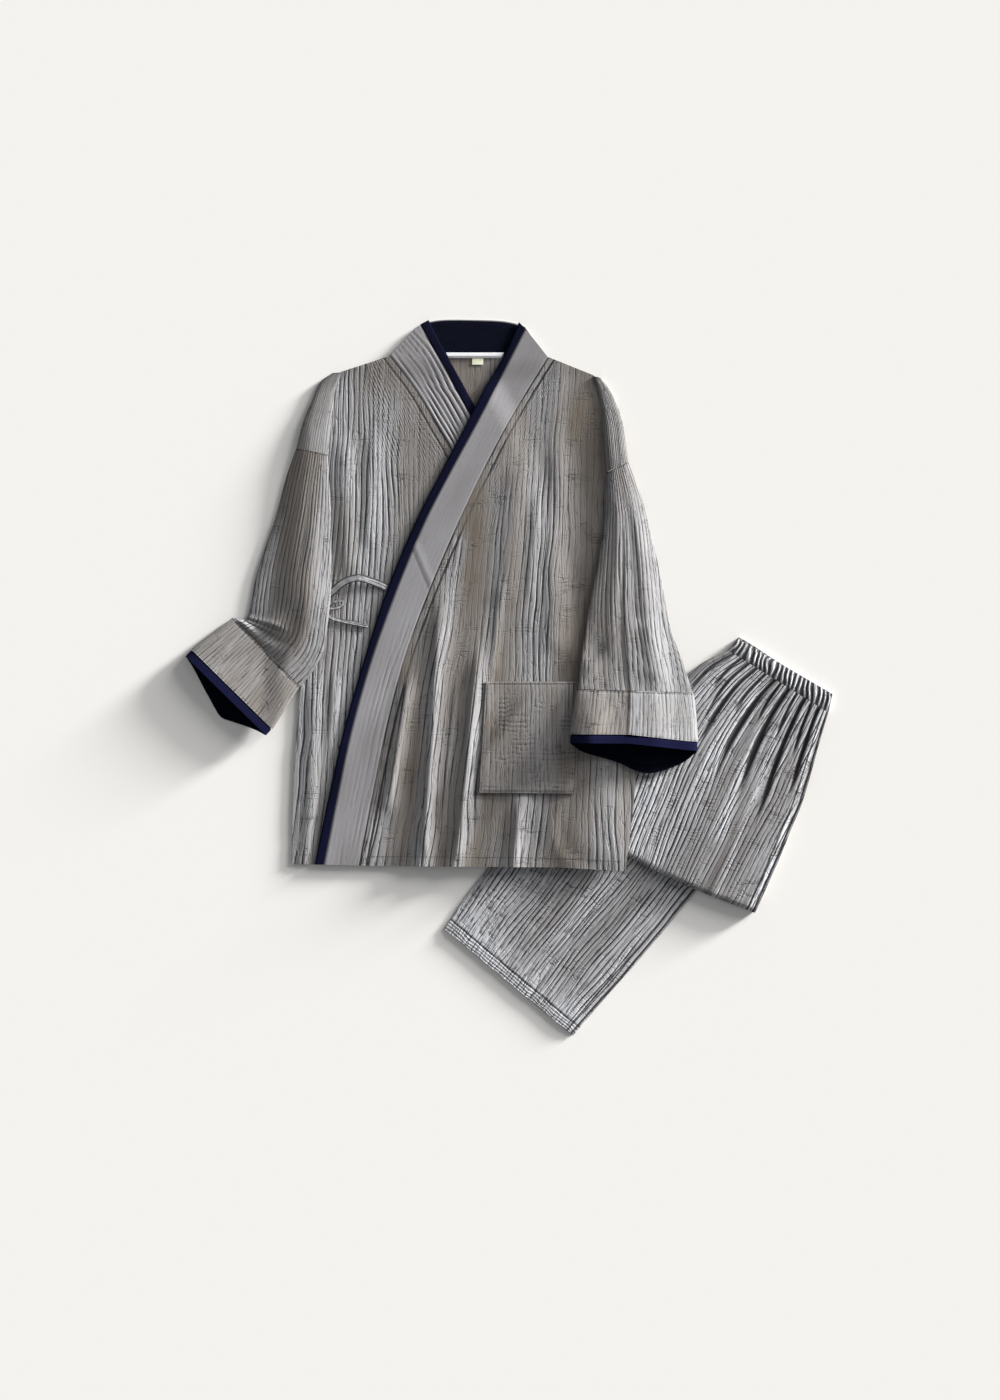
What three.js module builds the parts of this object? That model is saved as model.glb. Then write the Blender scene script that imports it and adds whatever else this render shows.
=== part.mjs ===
// A wrap jacket and trousers in crinkled double gauze, laid flat.
// Millimetres. X runs across the jacket from its centre line, towards the wearer's left, Y runs from
// the jacket's hem to its neck, and Z up from the surface it lies on. The group is centred at the end.
import * as THREE from "three";

const { lerp, smoothstep, clamp } = THREE.MathUtils;

// ---- cloth ----
const CLOTH = 2; // two plies of crinkled gauze
const BAND = 2.6; // folded collar band
const FACING = 1.6; // plain navy cotton
const TAPE = 1.2; // tie tape
const THIN_TAPE = 0.6; // neck tape and label
const SEAM = 0.3; // between two pieces sewn edge to edge
const LAYER = 0.5; // between two pieces lying on each other
const CRINKLE = 0.9; // height of the larger crinkles

// ---- what the jacket lies on ----
const LOWER_LEG = 5; // pressed lower stretch of the trousers
const UPPER_LEG = 12; // upper stretch, folded over the lower one
const FOLD_PUFF = 4; // how much higher the fold stands at its free side
const DRAPE_REACH = 110; // how far the jacket takes to come down beside the trousers
const DRAPE_SHELF = 20; // how far it stays up beyond their edge
const BESIDE_REACH = 40; // how far a sleeve takes to come down beside the jacket or the pocket

const ROWS = 16; // rows of each body panel, from shoulder to hem
const NECK_BASE = 700; // where the under side starts to rise over the back collar
const NECK_TOP = 738; // where it has risen in full
const NECK_RISE = 2;
const ARMHOLE = { low: 590, high: 700 }; // between them a shoulder comes down to the surface

// Where the jacket's lines cross each height above its hem, measured from the centre line.
const LINES = [
  { y: 0, left: -261, right: 222.5, overSeam: -164.7, overBand: -216, overEdge: -229,
    underSeam: 123.4, underBand: 174.3, underEdge: 186.5 },
  { y: 100, left: -259.5, right: 234.5, overSeam: -145.4, overBand: -196.3, overEdge: -208.5,
    underSeam: 105.8, underBand: 156.3, underEdge: 168 },
  { y: 200, left: -254, right: 238.5, overSeam: -124.8, overBand: -175, overEdge: -185.7,
    underSeam: 85.8, underBand: 135.5, underEdge: 147.5 },
  { y: 300, left: -244, right: 234, overSeam: -99, overBand: -146.6, overEdge: -156.8,
    underSeam: 62, underBand: 111.7, underEdge: 124.5 },
  { y: 400, left: -233, right: 223.5, overSeam: -62.7, overBand: -110.7, overEdge: -124,
    underSeam: 34.4, underBand: 82.7, underEdge: 95.5 },
  { y: 500, left: -225, right: 209.5, overSeam: -19.7, overBand: -69.2, overEdge: -82,
    underSeam: 8, underBand: 56, underEdge: 68 },
  { y: 580, left: -215, right: 196, overSeam: 18.6, overBand: -28, overEdge: -41,
    underSeam: -17.6, underBand: 30.5, underEdge: 43 },
  { y: 640, left: -208, right: 191, overSeam: 50.3, overBand: 4.7, overEdge: -9.3,
    underSeam: -51, underBand: 4, underEdge: 17.8 },
  { y: 690, left: -200, right: 182, overSeam: 79.7, overBand: 30.8, overEdge: 16.3,
    underSeam: -81, underBand: -22, underEdge: -8.4 },
  { y: 740, left: -182, right: 168, overSeam: 111, overBand: 56.5, overEdge: 45.6,
    underSeam: -119.4, underBand: -49.6, underEdge: -36 },
  { y: 790, left: -164, right: 154, overSeam: 143, overBand: 82, overEdge: 68,
    underSeam: -158, underBand: -77, underEdge: -62 },
];

// Top of the back and fronts, from shoulder tip to shoulder tip, and the hem line.
const SHOULDER_LINE = [
  { x: -240, y: 694 }, { x: -190, y: 717 }, { x: -119, y: 740 },
  { x: 111, y: 738 }, { x: 176, y: 712 }, { x: 230, y: 688 },
];
const HEM_LINE = [
  { x: -270, y: 4 }, { x: -142, y: 1 }, { x: 126, y: -1 }, { x: 230, y: -7 },
];

// Soft folds of the fronts: where each starts and ends, its height and half width.
const OVER_FOLDS = [
  { top: [-39, 440], end: [-71, 0], height: 4.5, width: 15 },
  { top: [17, 345], end: [-25, 0], height: 5, width: 17 },
  { top: [-86, 300], end: [-122, 95], height: 3.5, width: 12 },
  { top: [72, 120], end: [59, 0], height: 4, width: 14 },
  { top: [70, 600], end: [48, 400], height: 2.5, width: 17 },
  { top: [130, 640], end: [118, 330], height: 3, width: 18 },
];
const UNDER_FOLDS = [
  { top: [-186, 640], end: [-180, 440], height: 3, width: 15 },
  { top: [-140, 640], end: [-150, 480], height: 2.5, width: 12 },
  { top: [-226, 300], end: [-238, 0], height: 3, width: 11 },
  { top: [-196, 300], end: [-206, 90], height: 2.5, width: 10 },
];

// Left sleeve, from armhole to cuff seam: its inner and outer edge.
const LEFT_SLEEVE = [
  { inner: [195, 571], outer: [226, 586] },
  { inner: [193, 531], outer: [244, 539] },
  { inner: [191, 502], outer: [254, 502] },
  { inner: [183, 444], outer: [268, 444] },
  { inner: [171, 386], outer: [280, 386] },
  { inner: [163, 339], outer: [291, 334] },
  { inner: [157, 293], outer: [306, 293] },
  { inner: [153, 257], outer: [319, 252] },
];
// Right sleeve, bent at the elbow, where the outer edge turns on the spot.
const RIGHT_SLEEVE = [
  { inner: [-209, 596], outer: [-255, 606] },
  { inner: [-207, 557], outer: [-270, 563] },
  { inner: [-205, 516], outer: [-284, 510] },
  { inner: [-204, 471], outer: [-297, 471] },
  { inner: [-204, 425], outer: [-312, 425] },
  { inner: [-205, 386], outer: [-320, 386] },
  { inner: [-210, 347], outer: [-325, 364] },
  { inner: [-216, 312], outer: [-330, 358] },
  { inner: [-230, 284], outer: [-338, 359] },
  { inner: [-249, 261], outer: [-346, 361] },
];
const LEFT_SHOULDER = [
  { inner: [177.2, 711], outer: [186, 708] },
  { inner: [183.4, 690], outer: [202, 687] },
  { inner: [189.6, 660], outer: [213, 660] },
  { inner: [193, 631], outer: [221, 631] },
  { inner: [198.5, 572.8], outer: [226.5, 587] },
];
const RIGHT_SHOULDER = [
  { inner: [-192, 716], outer: [-203, 715] },
  { inner: [-201.4, 692], outer: [-221, 701] },
  { inner: [-205.5, 665], outer: [-234, 671] },
  { inner: [-209, 639], outer: [-245, 644] },
  { inner: [-213.8, 597.5], outer: [-254, 607.7] },
];
// Cuffs, from the seam to the end of the cloth: edges and how far open.
const LEFT_CUFF = [
  { inner: [151, 256.3], outer: [321, 251.3], height: 9 },
  { inner: [146, 223], outer: [325, 217], height: 15 },
  { inner: [141, 192], outer: [327, 181], height: 21 },
];
const RIGHT_CUFF = [
  { inner: [-249.5, 260.4], outer: [-346.6, 361], height: 9 },
  { inner: [-270, 228], outer: [-378, 338], height: 15 },
  { inner: [-289, 199], outer: [-407, 315], height: 21 },
];
// How far the lower side of each mouth lies beyond the upper one, across it from inner to outer edge.
const LEFT_LIP = [0, 12, 20, 24, 30, 44, 34, 24, 17, 10, 0];
const RIGHT_LIP = [0, 8, 16, 23, 28, 30, 28, 22, 14, 6, 0];
const NAVY_EDGE = 9; // turned edge of the facing beyond the cuff

// Trousers. Lower stretch from hem to where it is hidden, upper stretch from waistband to fold.
const LOWER_LEG_ROWS = [
  { left: [-40, -90], right: [146, -245] },
  { left: [-5, -38], right: [187, -197] },
  { left: [23, -1], right: [241, -136] },
  { left: [62, 55], right: [290, -78] },
  { left: [102, 110], right: [325, -35] },
  { left: [145, 170], right: [366, 12] },
];
const UPPER_LEG_ROWS = [
  { left: [371, 313], right: [516, 223] },
  { left: [330, 293], right: [504, 183] },
  { left: [290, 255], right: [495, 150] },
  { left: [257, 216], right: [486, 118] },
  { left: [228, 168], right: [476, 87] },
  { left: [205, 118], right: [462, 54] },
  { left: [187, 78], right: [445, 12] },
  { left: [178, 54], right: [413, -60] },
];
const WAISTBAND = { left: [371, 313], right: [516, 223], topLeft: [385, 330], topRight: [522, 250] };
const WAIST_GATHERS = 26;
// Folds that fall from the waist gathers: place across at the waist and where they end.
const GATHER_FOLDS = [
  { waist: 0.12, end: 0.22, reach: 0.34, depth: 3 },
  { waist: 0.28, end: 0.33, reach: 0.46, depth: 3.5 },
  { waist: 0.47, end: 0.5, reach: 0.62, depth: 3.5 },
  { waist: 0.63, end: 0.68, reach: 0.66, depth: 4 },
  { waist: 0.79, end: 0.83, reach: 0.72, depth: 3 },
];
const GATHER_FOLD_WIDTH = 0.045; // as a share of the leg's width
const FOLD_BOW = 8; // how far the fold's middle hangs below its ends
const FOLD_DEPTH = 8; // how far the fold rolls out
const FOLD_AWAY = [-0.46, -0.885]; // the way the fold faces

const POCKET = { top: [[20, 268], [155, 268]], bottom: [[10, 107], [151, 106]] };
const TIE_WIDTH = 11;
const NECK_SEAM = 741; // height of the back neck seam
const NECK_TAPE = { left: [-38, -34], right: [46, 42], top: 745, width: 8 };
const NECK_LABEL = { left: 0, right: 16, top: 736.6, bottom: 727.5 };
const WAIST_LEVEL = 6.2; // under side of the waistband's face
const WAIST_FLAT = 2; // thickness of the waistband between its gathers' crests
const WAIST_GATHER = 3; // how high its gathers stand
const WAIST_BACK = 5.2; // top of the waistband's back
const KNOT = { at: [-226, 375], radius: 8, thickness: 4.6 };
const KNOT_RISE = { height: 6, reach: 45 }; // how the sleeve rises over the knot
const GATHER_DEPTH = 4; // room that the layers inside leave for the gathers

// ---- finishes ----
const GAUZE = { color: 0x8b8681, roughness: 0.92, metalness: 0 };
const BAND_GAUZE = { color: 0x85838a, roughness: 0.9, metalness: 0 };
const TROUSER_GAUZE = { color: 0x8f8d8d, roughness: 0.92, metalness: 0 };
const NAVY = { color: 0x141a2e, roughness: 0.8, metalness: 0 };
const WHITE_TAPE = { color: 0xefeeeb, roughness: 0.85, metalness: 0 };
const LABEL = { color: 0xe8eacb, roughness: 0.7, metalness: 0 };

const garment = new THREE.Group();

// ---- shape helpers ----

// A smooth value from one column of a table whose rows rise in the column `by`.
function fromTable(table, by, name, at) {
  const above = table.findIndex((row) => row[by] > at);
  const i = clamp(above < 0 ? table.length - 2 : above - 1, 0, table.length - 2);
  const [a, b] = [table[i], table[i + 1]];
  const [before, after] = [table[i - 1] ?? a, table[i + 2] ?? b];
  const span = b[by] - a[by];
  const s = (at - a[by]) / span;
  const slopeA = ((b[name] - before[name]) / (b[by] - before[by])) * span;
  const slopeB = ((after[name] - a[name]) / (after[by] - a[by])) * span;
  const [s2, s3] = [s * s, s * s * s];
  return (2 * s3 - 3 * s2 + 1) * a[name] + (s3 - 2 * s2 + s) * slopeA
    + (3 * s2 - 2 * s3) * b[name] + (s3 - s2) * slopeB;
}

// Straight runs between the rows of a table, for lines that turn at corners.
function straight(table, by, name, at) {
  const above = table.findIndex((row) => row[by] > at);
  const i = clamp(above < 0 ? table.length - 2 : above - 1, 0, table.length - 2);
  const [a, b] = [table[i], table[i + 1]];
  return lerp(a[name], b[name], (at - a[by]) / (b[by] - a[by]));
}

// A smooth curve through one column of points of a table.
function pathOf(table, name) {
  return new THREE.SplineCurve(table.map((row) => new THREE.Vector2(...row[name])));
}

function distanceToSegment(x, y, [ax, ay], [bx, by]) {
  const [dx, dy] = [bx - ax, by - ay];
  const s = clamp(((x - ax) * dx + (y - ay) * dy) / (dx * dx + dy * dy), 0, 1);
  return { distance: Math.hypot(x - ax - s * dx, y - ay - s * dy), along: s };
}

// Distance outside a closed outline, and 0 within it.
function outside(outline, x, y) {
  let within = false;
  let nearest = Infinity;
  outline.forEach((a, i) => {
    const b = outline[(i + 1) % outline.length];
    nearest = Math.min(nearest, distanceToSegment(x, y, a, b).distance);
    if (a[1] > y !== b[1] > y && x < a[0] + ((y - a[1]) / (b[1] - a[1])) * (b[0] - a[0])) {
      within = !within;
    }
  });
  return within ? 0 : nearest;
}

// Turns the faces outwards and adds the piece under its name.
function addPiece(name, finish, positions, faces) {
  const corner = (k) => new THREE.Vector3(...positions[k]);
  const volume = faces.reduce((sum, [a, b, c]) => sum + corner(a).dot(corner(b).cross(corner(c))), 0);
  const outward = volume > 0 ? faces : faces.map(([a, b, c]) => [a, c, b]);
  const geometry = new THREE.BufferGeometry();
  geometry.setAttribute("position", new THREE.Float32BufferAttribute(positions.flat(), 3));
  geometry.setIndex(outward.flat());
  geometry.computeVertexNormals();
  const mesh = new THREE.Mesh(geometry, new THREE.MeshStandardMaterial(finish));
  mesh.name = name;
  garment.add(mesh);
}

// A closed wall on a grid. at(u, v, column, row) gives its upper and lower point. Each of `layers` is
// a ring of points round its side at a level between them, moved in, so the edge looks layered.
function addSheet(name, finish, columns, rows, at, layers = []) {
  const positions = [];
  const faces = [];
  const width = columns + 1;
  for (const side of [0, 1]) {
    for (let row = 0; row <= rows; row += 1) {
      for (let column = 0; column <= columns; column += 1) {
        positions.push(at(column / columns, row / rows, column, row)[side]);
      }
    }
  }
  const lower = width * (rows + 1);
  const index = (column, row) => row * width + column;
  for (let row = 0; row < rows; row += 1) {
    for (let column = 0; column < columns; column += 1) {
      const [a, b] = [index(column, row), index(column + 1, row)];
      const [c, d] = [index(column + 1, row + 1), index(column, row + 1)];
      faces.push([a, d, c], [a, c, b]);
      faces.push([lower + a, lower + c, lower + d], [lower + a, lower + b, lower + c]);
    }
  }
  const border = [];
  for (let column = 0; column < columns; column += 1) border.push(index(column, 0));
  for (let row = 0; row < rows; row += 1) border.push(index(columns, row));
  for (let column = columns; column > 0; column -= 1) border.push(index(column, rows));
  for (let row = rows; row > 0; row -= 1) border.push(index(0, row));

  const centre = [0, 1].map((k) => border.reduce((sum, b) => sum + positions[b][k], 0) / border.length);
  const rings = [border];
  for (const { level, inset } of layers) {
    rings.push(border.map((b) => {
      const [x, y, z] = positions[b];
      const reach = Math.hypot(centre[0] - x, centre[1] - y);
      positions.push([
        x + ((centre[0] - x) * inset) / reach,
        y + ((centre[1] - y) * inset) / reach,
        lerp(z, positions[b + lower][2], level),
      ]);
      return positions.length - 1;
    }));
  }
  rings.push(border.map((b) => b + lower));
  for (let ring = 0; ring + 1 < rings.length; ring += 1) {
    border.forEach((_, k) => {
      const next = (k + 1) % border.length;
      const [a, b, c, d] = [rings[ring][k], rings[ring][next], rings[ring + 1][next], rings[ring + 1][k]];
      faces.push([a, b, c], [a, c, d]);
    });
  }
  addPiece(name, finish, positions, faces);
}

// A flattened open tube of cloth. ring(section, t, upper, inset) gives a point of its wall, where t
// runs across it from 0 to 1 and inset is 0 outside and 1 inside.
function addTube(name, finish, sections, across, ring) {
  const positions = [];
  const faces = [];
  const around = across * 2;
  for (const inset of [0, 1]) {
    for (let section = 0; section <= sections; section += 1) {
      for (let k = 0; k < around; k += 1) {
        const upper = k <= across;
        const t = upper ? k / across : (around - k) / across;
        positions.push(ring(section / sections, t, upper, inset, k));
      }
    }
  }
  const inner = (sections + 1) * around;
  const quad = (a, b, c, d) => faces.push([a, b, c], [a, c, d]);
  for (let k = 0; k < around; k += 1) {
    const next = (k + 1) % around;
    for (let section = 0; section < sections; section += 1) {
      const [a, b] = [section * around + k, section * around + next];
      quad(a, b, b + around, a + around);
      quad(inner + b, inner + a, inner + a + around, inner + b + around);
    }
    const end = sections * around;
    quad(next, k, inner + k, inner + next);
    quad(end + k, end + next, inner + end + next, inner + end + k);
  }
  addPiece(name, finish, positions, faces);
}

// ---- the surface under each layer ----

const lowerOutline = [
  ...LOWER_LEG_ROWS.map((row) => row.left),
  ...LOWER_LEG_ROWS.map((row) => row.right).reverse(),
];
const upperOutline = [
  ...UPPER_LEG_ROWS.map((row) => row.left),
  ...UPPER_LEG_ROWS.map((row) => row.right).reverse(),
];

// Height of a soft step down that starts DRAPE_SHELF beyond an edge.
const drape = (distance, reach) => 1 - smoothstep(distance, DRAPE_SHELF, DRAPE_SHELF + reach);

// What the jacket lies on: the surface, and the trousers where they run under it.
function underJacket(x, y) {
  const lower = (LOWER_LEG + LAYER) * drape(outside(lowerOutline, x, y), DRAPE_REACH);
  const upper = (UPPER_LEG + CRINKLE + LAYER) * drape(outside(upperOutline, x, y), DRAPE_REACH);
  return (lower ** 4 + upper ** 4) ** 0.25;
}

const line = (name, y) => fromTable(LINES, "y", name, y);

// Layers part a little more where they come down beside the trousers.
function layerGap(x, y) {
  const share = clamp(underJacket(x, y) / UPPER_LEG, 0, 1);
  return LAYER + 1.2 * smoothstep(share, 0, 0.12) * (1 - smoothstep(share, 0.75, 1));
}

function foldsAt(folds, x, y) {
  return folds.reduce((sum, { top, end, height, width }) => {
    const { distance, along } = distanceToSegment(x, y, top, end);
    const lift = smoothstep(along, 0, 0.25);
    return sum + height * lift * Math.exp(-((distance / width) ** 2));
  }, 0);
}

// Raises every other column of a panel, unevenly.
function crinkle(column, row) {
  return column % 2 === 0 ? 0 : CRINKLE * (0.7 + 0.3 * Math.sin(column * 2.3 + row * 0.8));
}

// ---- body panels share one set of rows ----

function bodyPoint(x, v) {
  return [x, lerp(straight(SHOULDER_LINE, "x", "y", x), straight(HEM_LINE, "x", "y", x), v)];
}

// Where a named line crosses a row.
function crossing(name, v) {
  let x = line(name, lerp(NECK_TOP, 0, v));
  for (let pass = 0; pass < 6; pass += 1) x = line(name, bodyPoint(x, v)[1]);
  return bodyPoint(x, v);
}

// Between two lines of the body, at the share u of the way across, `seam` in from each side.
function bodyBetween(from, to, u, v, inset = [0, 0]) {
  const start = crossing(from, v)[0] + inset[0];
  const end = crossing(to, v)[0] - inset[1];
  return bodyPoint(lerp(start, end, u), v);
}

const neckRise = (y) => NECK_RISE * smoothstep(y, NECK_BASE, NECK_TOP);

const underBottom = (x, y) =>
  underJacket(x, y) + CLOTH + layerGap(x, y) + neckRise(y)
  + foldsAt(UNDER_FOLDS, x, y) * (1 - smoothstep(x, line("overEdge", y) - 24, line("overEdge", y)));
function overBottom(x, y) {
  const edge = line("underEdge", y);
  const onUnder = 1 - smoothstep(x, edge + 20, edge + 64);
  const gap = layerGap(x, y);
  const base = underJacket(x, y) + CLOTH + gap;
  return base + onUnder * (BAND + LAYER / 2 + gap) + foldsAt(OVER_FOLDS, x, y) + neckRise(y);
}

// What a sleeve lies on: the jacket's body with its pocket, the trousers beside it and the knot.
function underSleeve(x, y) {
  const [left, right] = [line("left", y), line("right", y)];
  const near = clamp(x, left, right);
  const front = near > 0 ? overBottom(near, y) : underBottom(near, y);
  const stack = front - underJacket(near, y) + CLOTH + CRINKLE + layerGap(near, y) + LAYER;
  const beyond = Math.abs(x - near);
  const body = stack * drape(beyond, BESIDE_REACH) * (1 - smoothstep(y, ARMHOLE.low, ARMHOLE.high));
  const pocket = (CLOTH + CRINKLE + LAYER) * drape(outside(pocketOutline, x, y), BESIDE_REACH);
  const knot = Math.hypot(x - KNOT.at[0], y - KNOT.at[1]) / KNOT_RISE.reach;
  return underJacket(x, y) + body + pocket + KNOT_RISE.height * Math.exp(-knot * knot);
}

function addBody() {
  addSheet("jacket_back", GAUZE, 18, ROWS, (u, v) => {
    const [x, y] = bodyBetween("left", "right", u, v);
    const z = underJacket(x, y);
    return [[x, y, z + CLOTH], [x, y, z]];
  });
  addSheet("jacket_front_under", GAUZE, 18, ROWS, (u, v, column, row) => {
    const [x, y] = bodyBetween("left", "underSeam", u, v, [0, SEAM / 2]);
    const z = underBottom(x, y);
    const shown = 1 - smoothstep(x, line("overEdge", y) - 24, line("overEdge", y) - 8);
    return [[x, y, z + CLOTH + shown * crinkle(column, row)], [x, y, z]];
  });
  addSheet("jacket_front_over", GAUZE, 26, ROWS, (u, v, column, row) => {
    const [x, y] = bodyBetween("overSeam", "right", u, v, [SEAM / 2, 0]);
    const z = overBottom(x, y);
    const pocket = outside(pocketOutline, x, y) < 22 ? 0 : 1;
    return [[x, y, z + CLOTH + pocket * crinkle(column, row)], [x, y, z]];
  });
}

// ---- collar ----

// A row of a front band. The first two turn from the neck's fold to the rows of the body.
function bandRow(from, to, row, neckFrom, neckTo) {
  if (row >= 2) return [crossing(from, (row - 1) / ROWS), crossing(to, (row - 1) / ROWS)];
  const share = row / 2;
  const first = [crossing(from, 1 / ROWS), crossing(to, 1 / ROWS)];
  const ys = [lerp(neckFrom, first[0][1], share), lerp(neckTo, first[1][1], share)];
  return [[line(from, ys[0]), ys[0]], [line(to, ys[1]), ys[1]]];
}

function addBand(name, finish, columns, lines, necks, bottom, thickness, ridge) {
  const rows = ROWS + 1;
  addSheet(name, finish, columns, rows, (u, v, column, row) => {
    const [start, end] = bandRow(lines[0], lines[1], row, necks[0], necks[1]);
    const length = Math.hypot(end[0] - start[0], end[1] - start[1]);
    const share = lerp(SEAM / 2 / length, 1 - SEAM / 2 / length, u);
    const [x, y] = [lerp(start[0], end[0], share), lerp(start[1], end[1], share)];
    const z = bottom(x, y);
    return [[x, y, z + thickness + (column % 2 ? ridge : 0)], [x, y, z]];
  });
}

function addCollar() {
  addBand("collar_band_under", BAND_GAUZE, 4, ["underSeam", "underBand"], [740, 786], underBottom, BAND, 0.4);
  addBand("collar_edge_under", NAVY, 1, ["underBand", "underEdge"], [786, 792], underBottom, BAND, 0);
  addBand("collar_band_over", BAND_GAUZE, 3, ["overBand", "overSeam"], [780, 738], overBottom, BAND, 0);
  addBand("collar_edge_over", NAVY, 1, ["overEdge", "overBand"], [789, 780], overBottom, BAND, 0);

  const collar = (u, v, inset) => {
    const left = [lerp(-76, -112, v), lerp(785, NECK_SEAM, v)];
    const right = [lerp(77, 104, v), lerp(782, NECK_SEAM, v)];
    const crown = (1 - v) * 9 * (1 - (2 * u - 1) ** 4);
    const x = lerp(left[0] + inset, right[0] - inset, u);
    return [x, lerp(left[1], right[1], u) + crown - inset * (1 - v)];
  };
  addSheet("collar_back", BAND_GAUZE, 10, 3, (u, v) => {
    const [x, y] = collar(u, v, 0);
    return [[x, y, FACING], [x, y, 0]];
  });
  addSheet("collar_back_facing", NAVY, 10, 3, (u, v) => {
    const [x, y] = collar(u, v, 1.5);
    const z = FACING + SEAM;
    return [[x, y, z + FACING], [x, y, z]];
  });

  addSheet("neck_tape", WHITE_TAPE, 6, 4, (u, v) => {
    const x = lerp(lerp(...NECK_TAPE.left, v), lerp(...NECK_TAPE.right, v), u);
    const y = NECK_TAPE.top - NECK_TAPE.width * v;
    const z = lerp(2 * FACING + SEAM + LAYER, CLOTH + LAYER, smoothstep(v, 0.6, 1));
    return [[x, y, z + THIN_TAPE], [x, y, z]];
  });
  addSheet("neck_label", LABEL, 2, 2, (u, v) => {
    const x = lerp(NECK_LABEL.left, NECK_LABEL.right, u);
    const y = lerp(NECK_LABEL.top, NECK_LABEL.bottom, v);
    const z = CLOTH + SEAM;
    return [[x, y, z + THIN_TAPE], [x, y, z]];
  });
}

// ---- sleeves ----

// Rounds a flattened tube: the share of its half height at t across.
const roundness = (t) => Math.sqrt(1 - Math.abs(2 * t - 1) ** 3.5);

// One point of a sleeve's wall, resting on `bed`.
function tubePoint({ inner, outer, height, wall, level = 0.5 }, t, upper, inset, bed) {
  const width = Math.hypot(outer[0] - inner[0], outer[1] - inner[1]);
  const margin = (inset * wall) / width;
  const s = lerp(margin, 1 - margin, t);
  const [x, y] = [lerp(inner[0], outer[0], s), lerp(inner[1], outer[1], s)];
  const rise = height * (1 - level) - inset * wall;
  const fall = height * level - inset * wall;
  const middle = bed(x, y) + height * level;
  return [x, y, middle + roundness(t) * (upper ? rise : -fall)];
}

function addSleeve(name, table, sections, across, bulge) {
  const innerPath = pathOf(table, "inner");
  const outerPath = pathOf(table, "outer");
  addTube(name, GAUZE, sections, across, (s, t, upper, inset, k) => {
    const inner = innerPath.getPoint(s).toArray();
    const outer = outerPath.getPoint(s).toArray();
    const point = tubePoint({ inner, outer, height: 7, wall: CLOTH }, t, upper, inset, underSleeve);
    if (upper) point[2] += bulge(s, t) + (inset ? 0 : roundness(t) * crinkle(k, s * sections));
    return point;
  });
}

// A cuff and its facing share one flared form. `past` is the distance from the seam.
function cuffForm(table, lip) {
  const innerPath = pathOf(table, "inner");
  const outerPath = pathOf(table, "outer");
  const [first, last] = [table[0], table[table.length - 1]];
  const middleOf = (row) => [0, 1].map((k) => (row.inner[k] + row.outer[k]) / 2);
  const [start, end] = [middleOf(first), middleOf(last)];
  const length = Math.hypot(end[0] - start[0], end[1] - start[1]);
  const forward = [(end[0] - start[0]) / length, (end[1] - start[1]) / length];
  const pointAt = (past, t, upper, inset, wall, shrink) => {
    const s = past / length;
    const overrun = Math.max(past - length, 0);
    const inner = innerPath.getPoint(Math.min(s, 1)).toArray();
    const outer = outerPath.getPoint(Math.min(s, 1)).toArray();
    const height = lerp(first.height, last.height, s);
    const bed = (x, y) => underSleeve(x, y) + shrink;
    const shape = { inner, outer, height: height - 2 * shrink, wall, level: 0.4 };
    const width = Math.hypot(outer[0] - inner[0], outer[1] - inner[1]);
    const margin = (1.6 * shrink) / width;
    shape.inner = [0, 1].map((k) => lerp(inner[k], outer[k], margin));
    shape.outer = [0, 1].map((k) => lerp(outer[k], inner[k], margin));
    const point = tubePoint(shape, t, upper, inset, bed);
    const across = Math.hypot(point[0] - inner[0], point[1] - inner[1]) / width;
    const place = across * (lip.length - 1);
    const low = Math.min(Math.floor(place), lip.length - 2);
    const reach = lerp(lip[low], lip[low + 1], place - low) * smoothstep(s, 0.35, 1);
    const shift = overrun + (upper ? 0 : reach);
    return [point[0] + forward[0] * shift, point[1] + forward[1] * shift, point[2]];
  };
  return { length, pointAt };
}

function addCuff(side, table, lip) {
  const { length, pointAt } = cuffForm(table, lip);
  addTube(`${side}_cuff`, GAUZE, 4, 10, (s, t, upper, inset) =>
    pointAt(lerp(SEAM, length, s), t, upper, inset, CLOTH, 0));
  const inside = CLOTH + 2.6 * LAYER;
  const stations = [
    { past: length / 2, shrink: inside },
    { past: (length * 3) / 4, shrink: inside },
    { past: length + SEAM, shrink: inside },
    { past: length + 2, shrink: 2 * SEAM },
    { past: length + NAVY_EDGE, shrink: 2 * SEAM },
  ];
  addTube(`${side}_cuff_facing`, NAVY, stations.length - 1, 10, (s, t, upper, inset) => {
    const { past, shrink } = stations[Math.round(s * (stations.length - 1))];
    return pointAt(past, t, upper, inset, FACING, shrink);
  });
}

function addSleeves() {
  addSleeve("left_shoulder", LEFT_SHOULDER, 4, 6, () => 0);
  addSleeve("right_shoulder", RIGHT_SHOULDER, 4, 6, () => 0);
  // A crease runs down the middle of the straight sleeve, with a soft ridge at each side of it.
  addSleeve("left_sleeve", LEFT_SLEEVE, 10, 10, (s, t) => {
    const reach = smoothstep(s, 0.05, 0.4);
    const ridges = Math.exp(-(((t - 0.34) / 0.1) ** 2)) + Math.exp(-(((t - 0.72) / 0.1) ** 2));
    return 2.2 * reach * ridges;
  });
  // The bent sleeve bunches at the elbow.
  addSleeve("right_sleeve", RIGHT_SLEEVE, 13, 10, (s, t) => {
    const elbow = Math.exp(-(((s - 0.72) / 0.1) ** 2)) * Math.exp(-(((t - 0.66) / 0.16) ** 2));
    const ridge = Math.exp(-(((t - 0.3) / 0.12) ** 2)) * smoothstep(s, 0.1, 0.4);
    return 6 * elbow + 2.4 * ridge;
  });
  addCuff("left", LEFT_CUFF, LEFT_LIP);
  addCuff("right", RIGHT_CUFF, RIGHT_LIP);
}

// ---- pocket and ties ----

const pocketOutline = [...POCKET.top, ...[...POCKET.bottom].reverse()];

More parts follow.
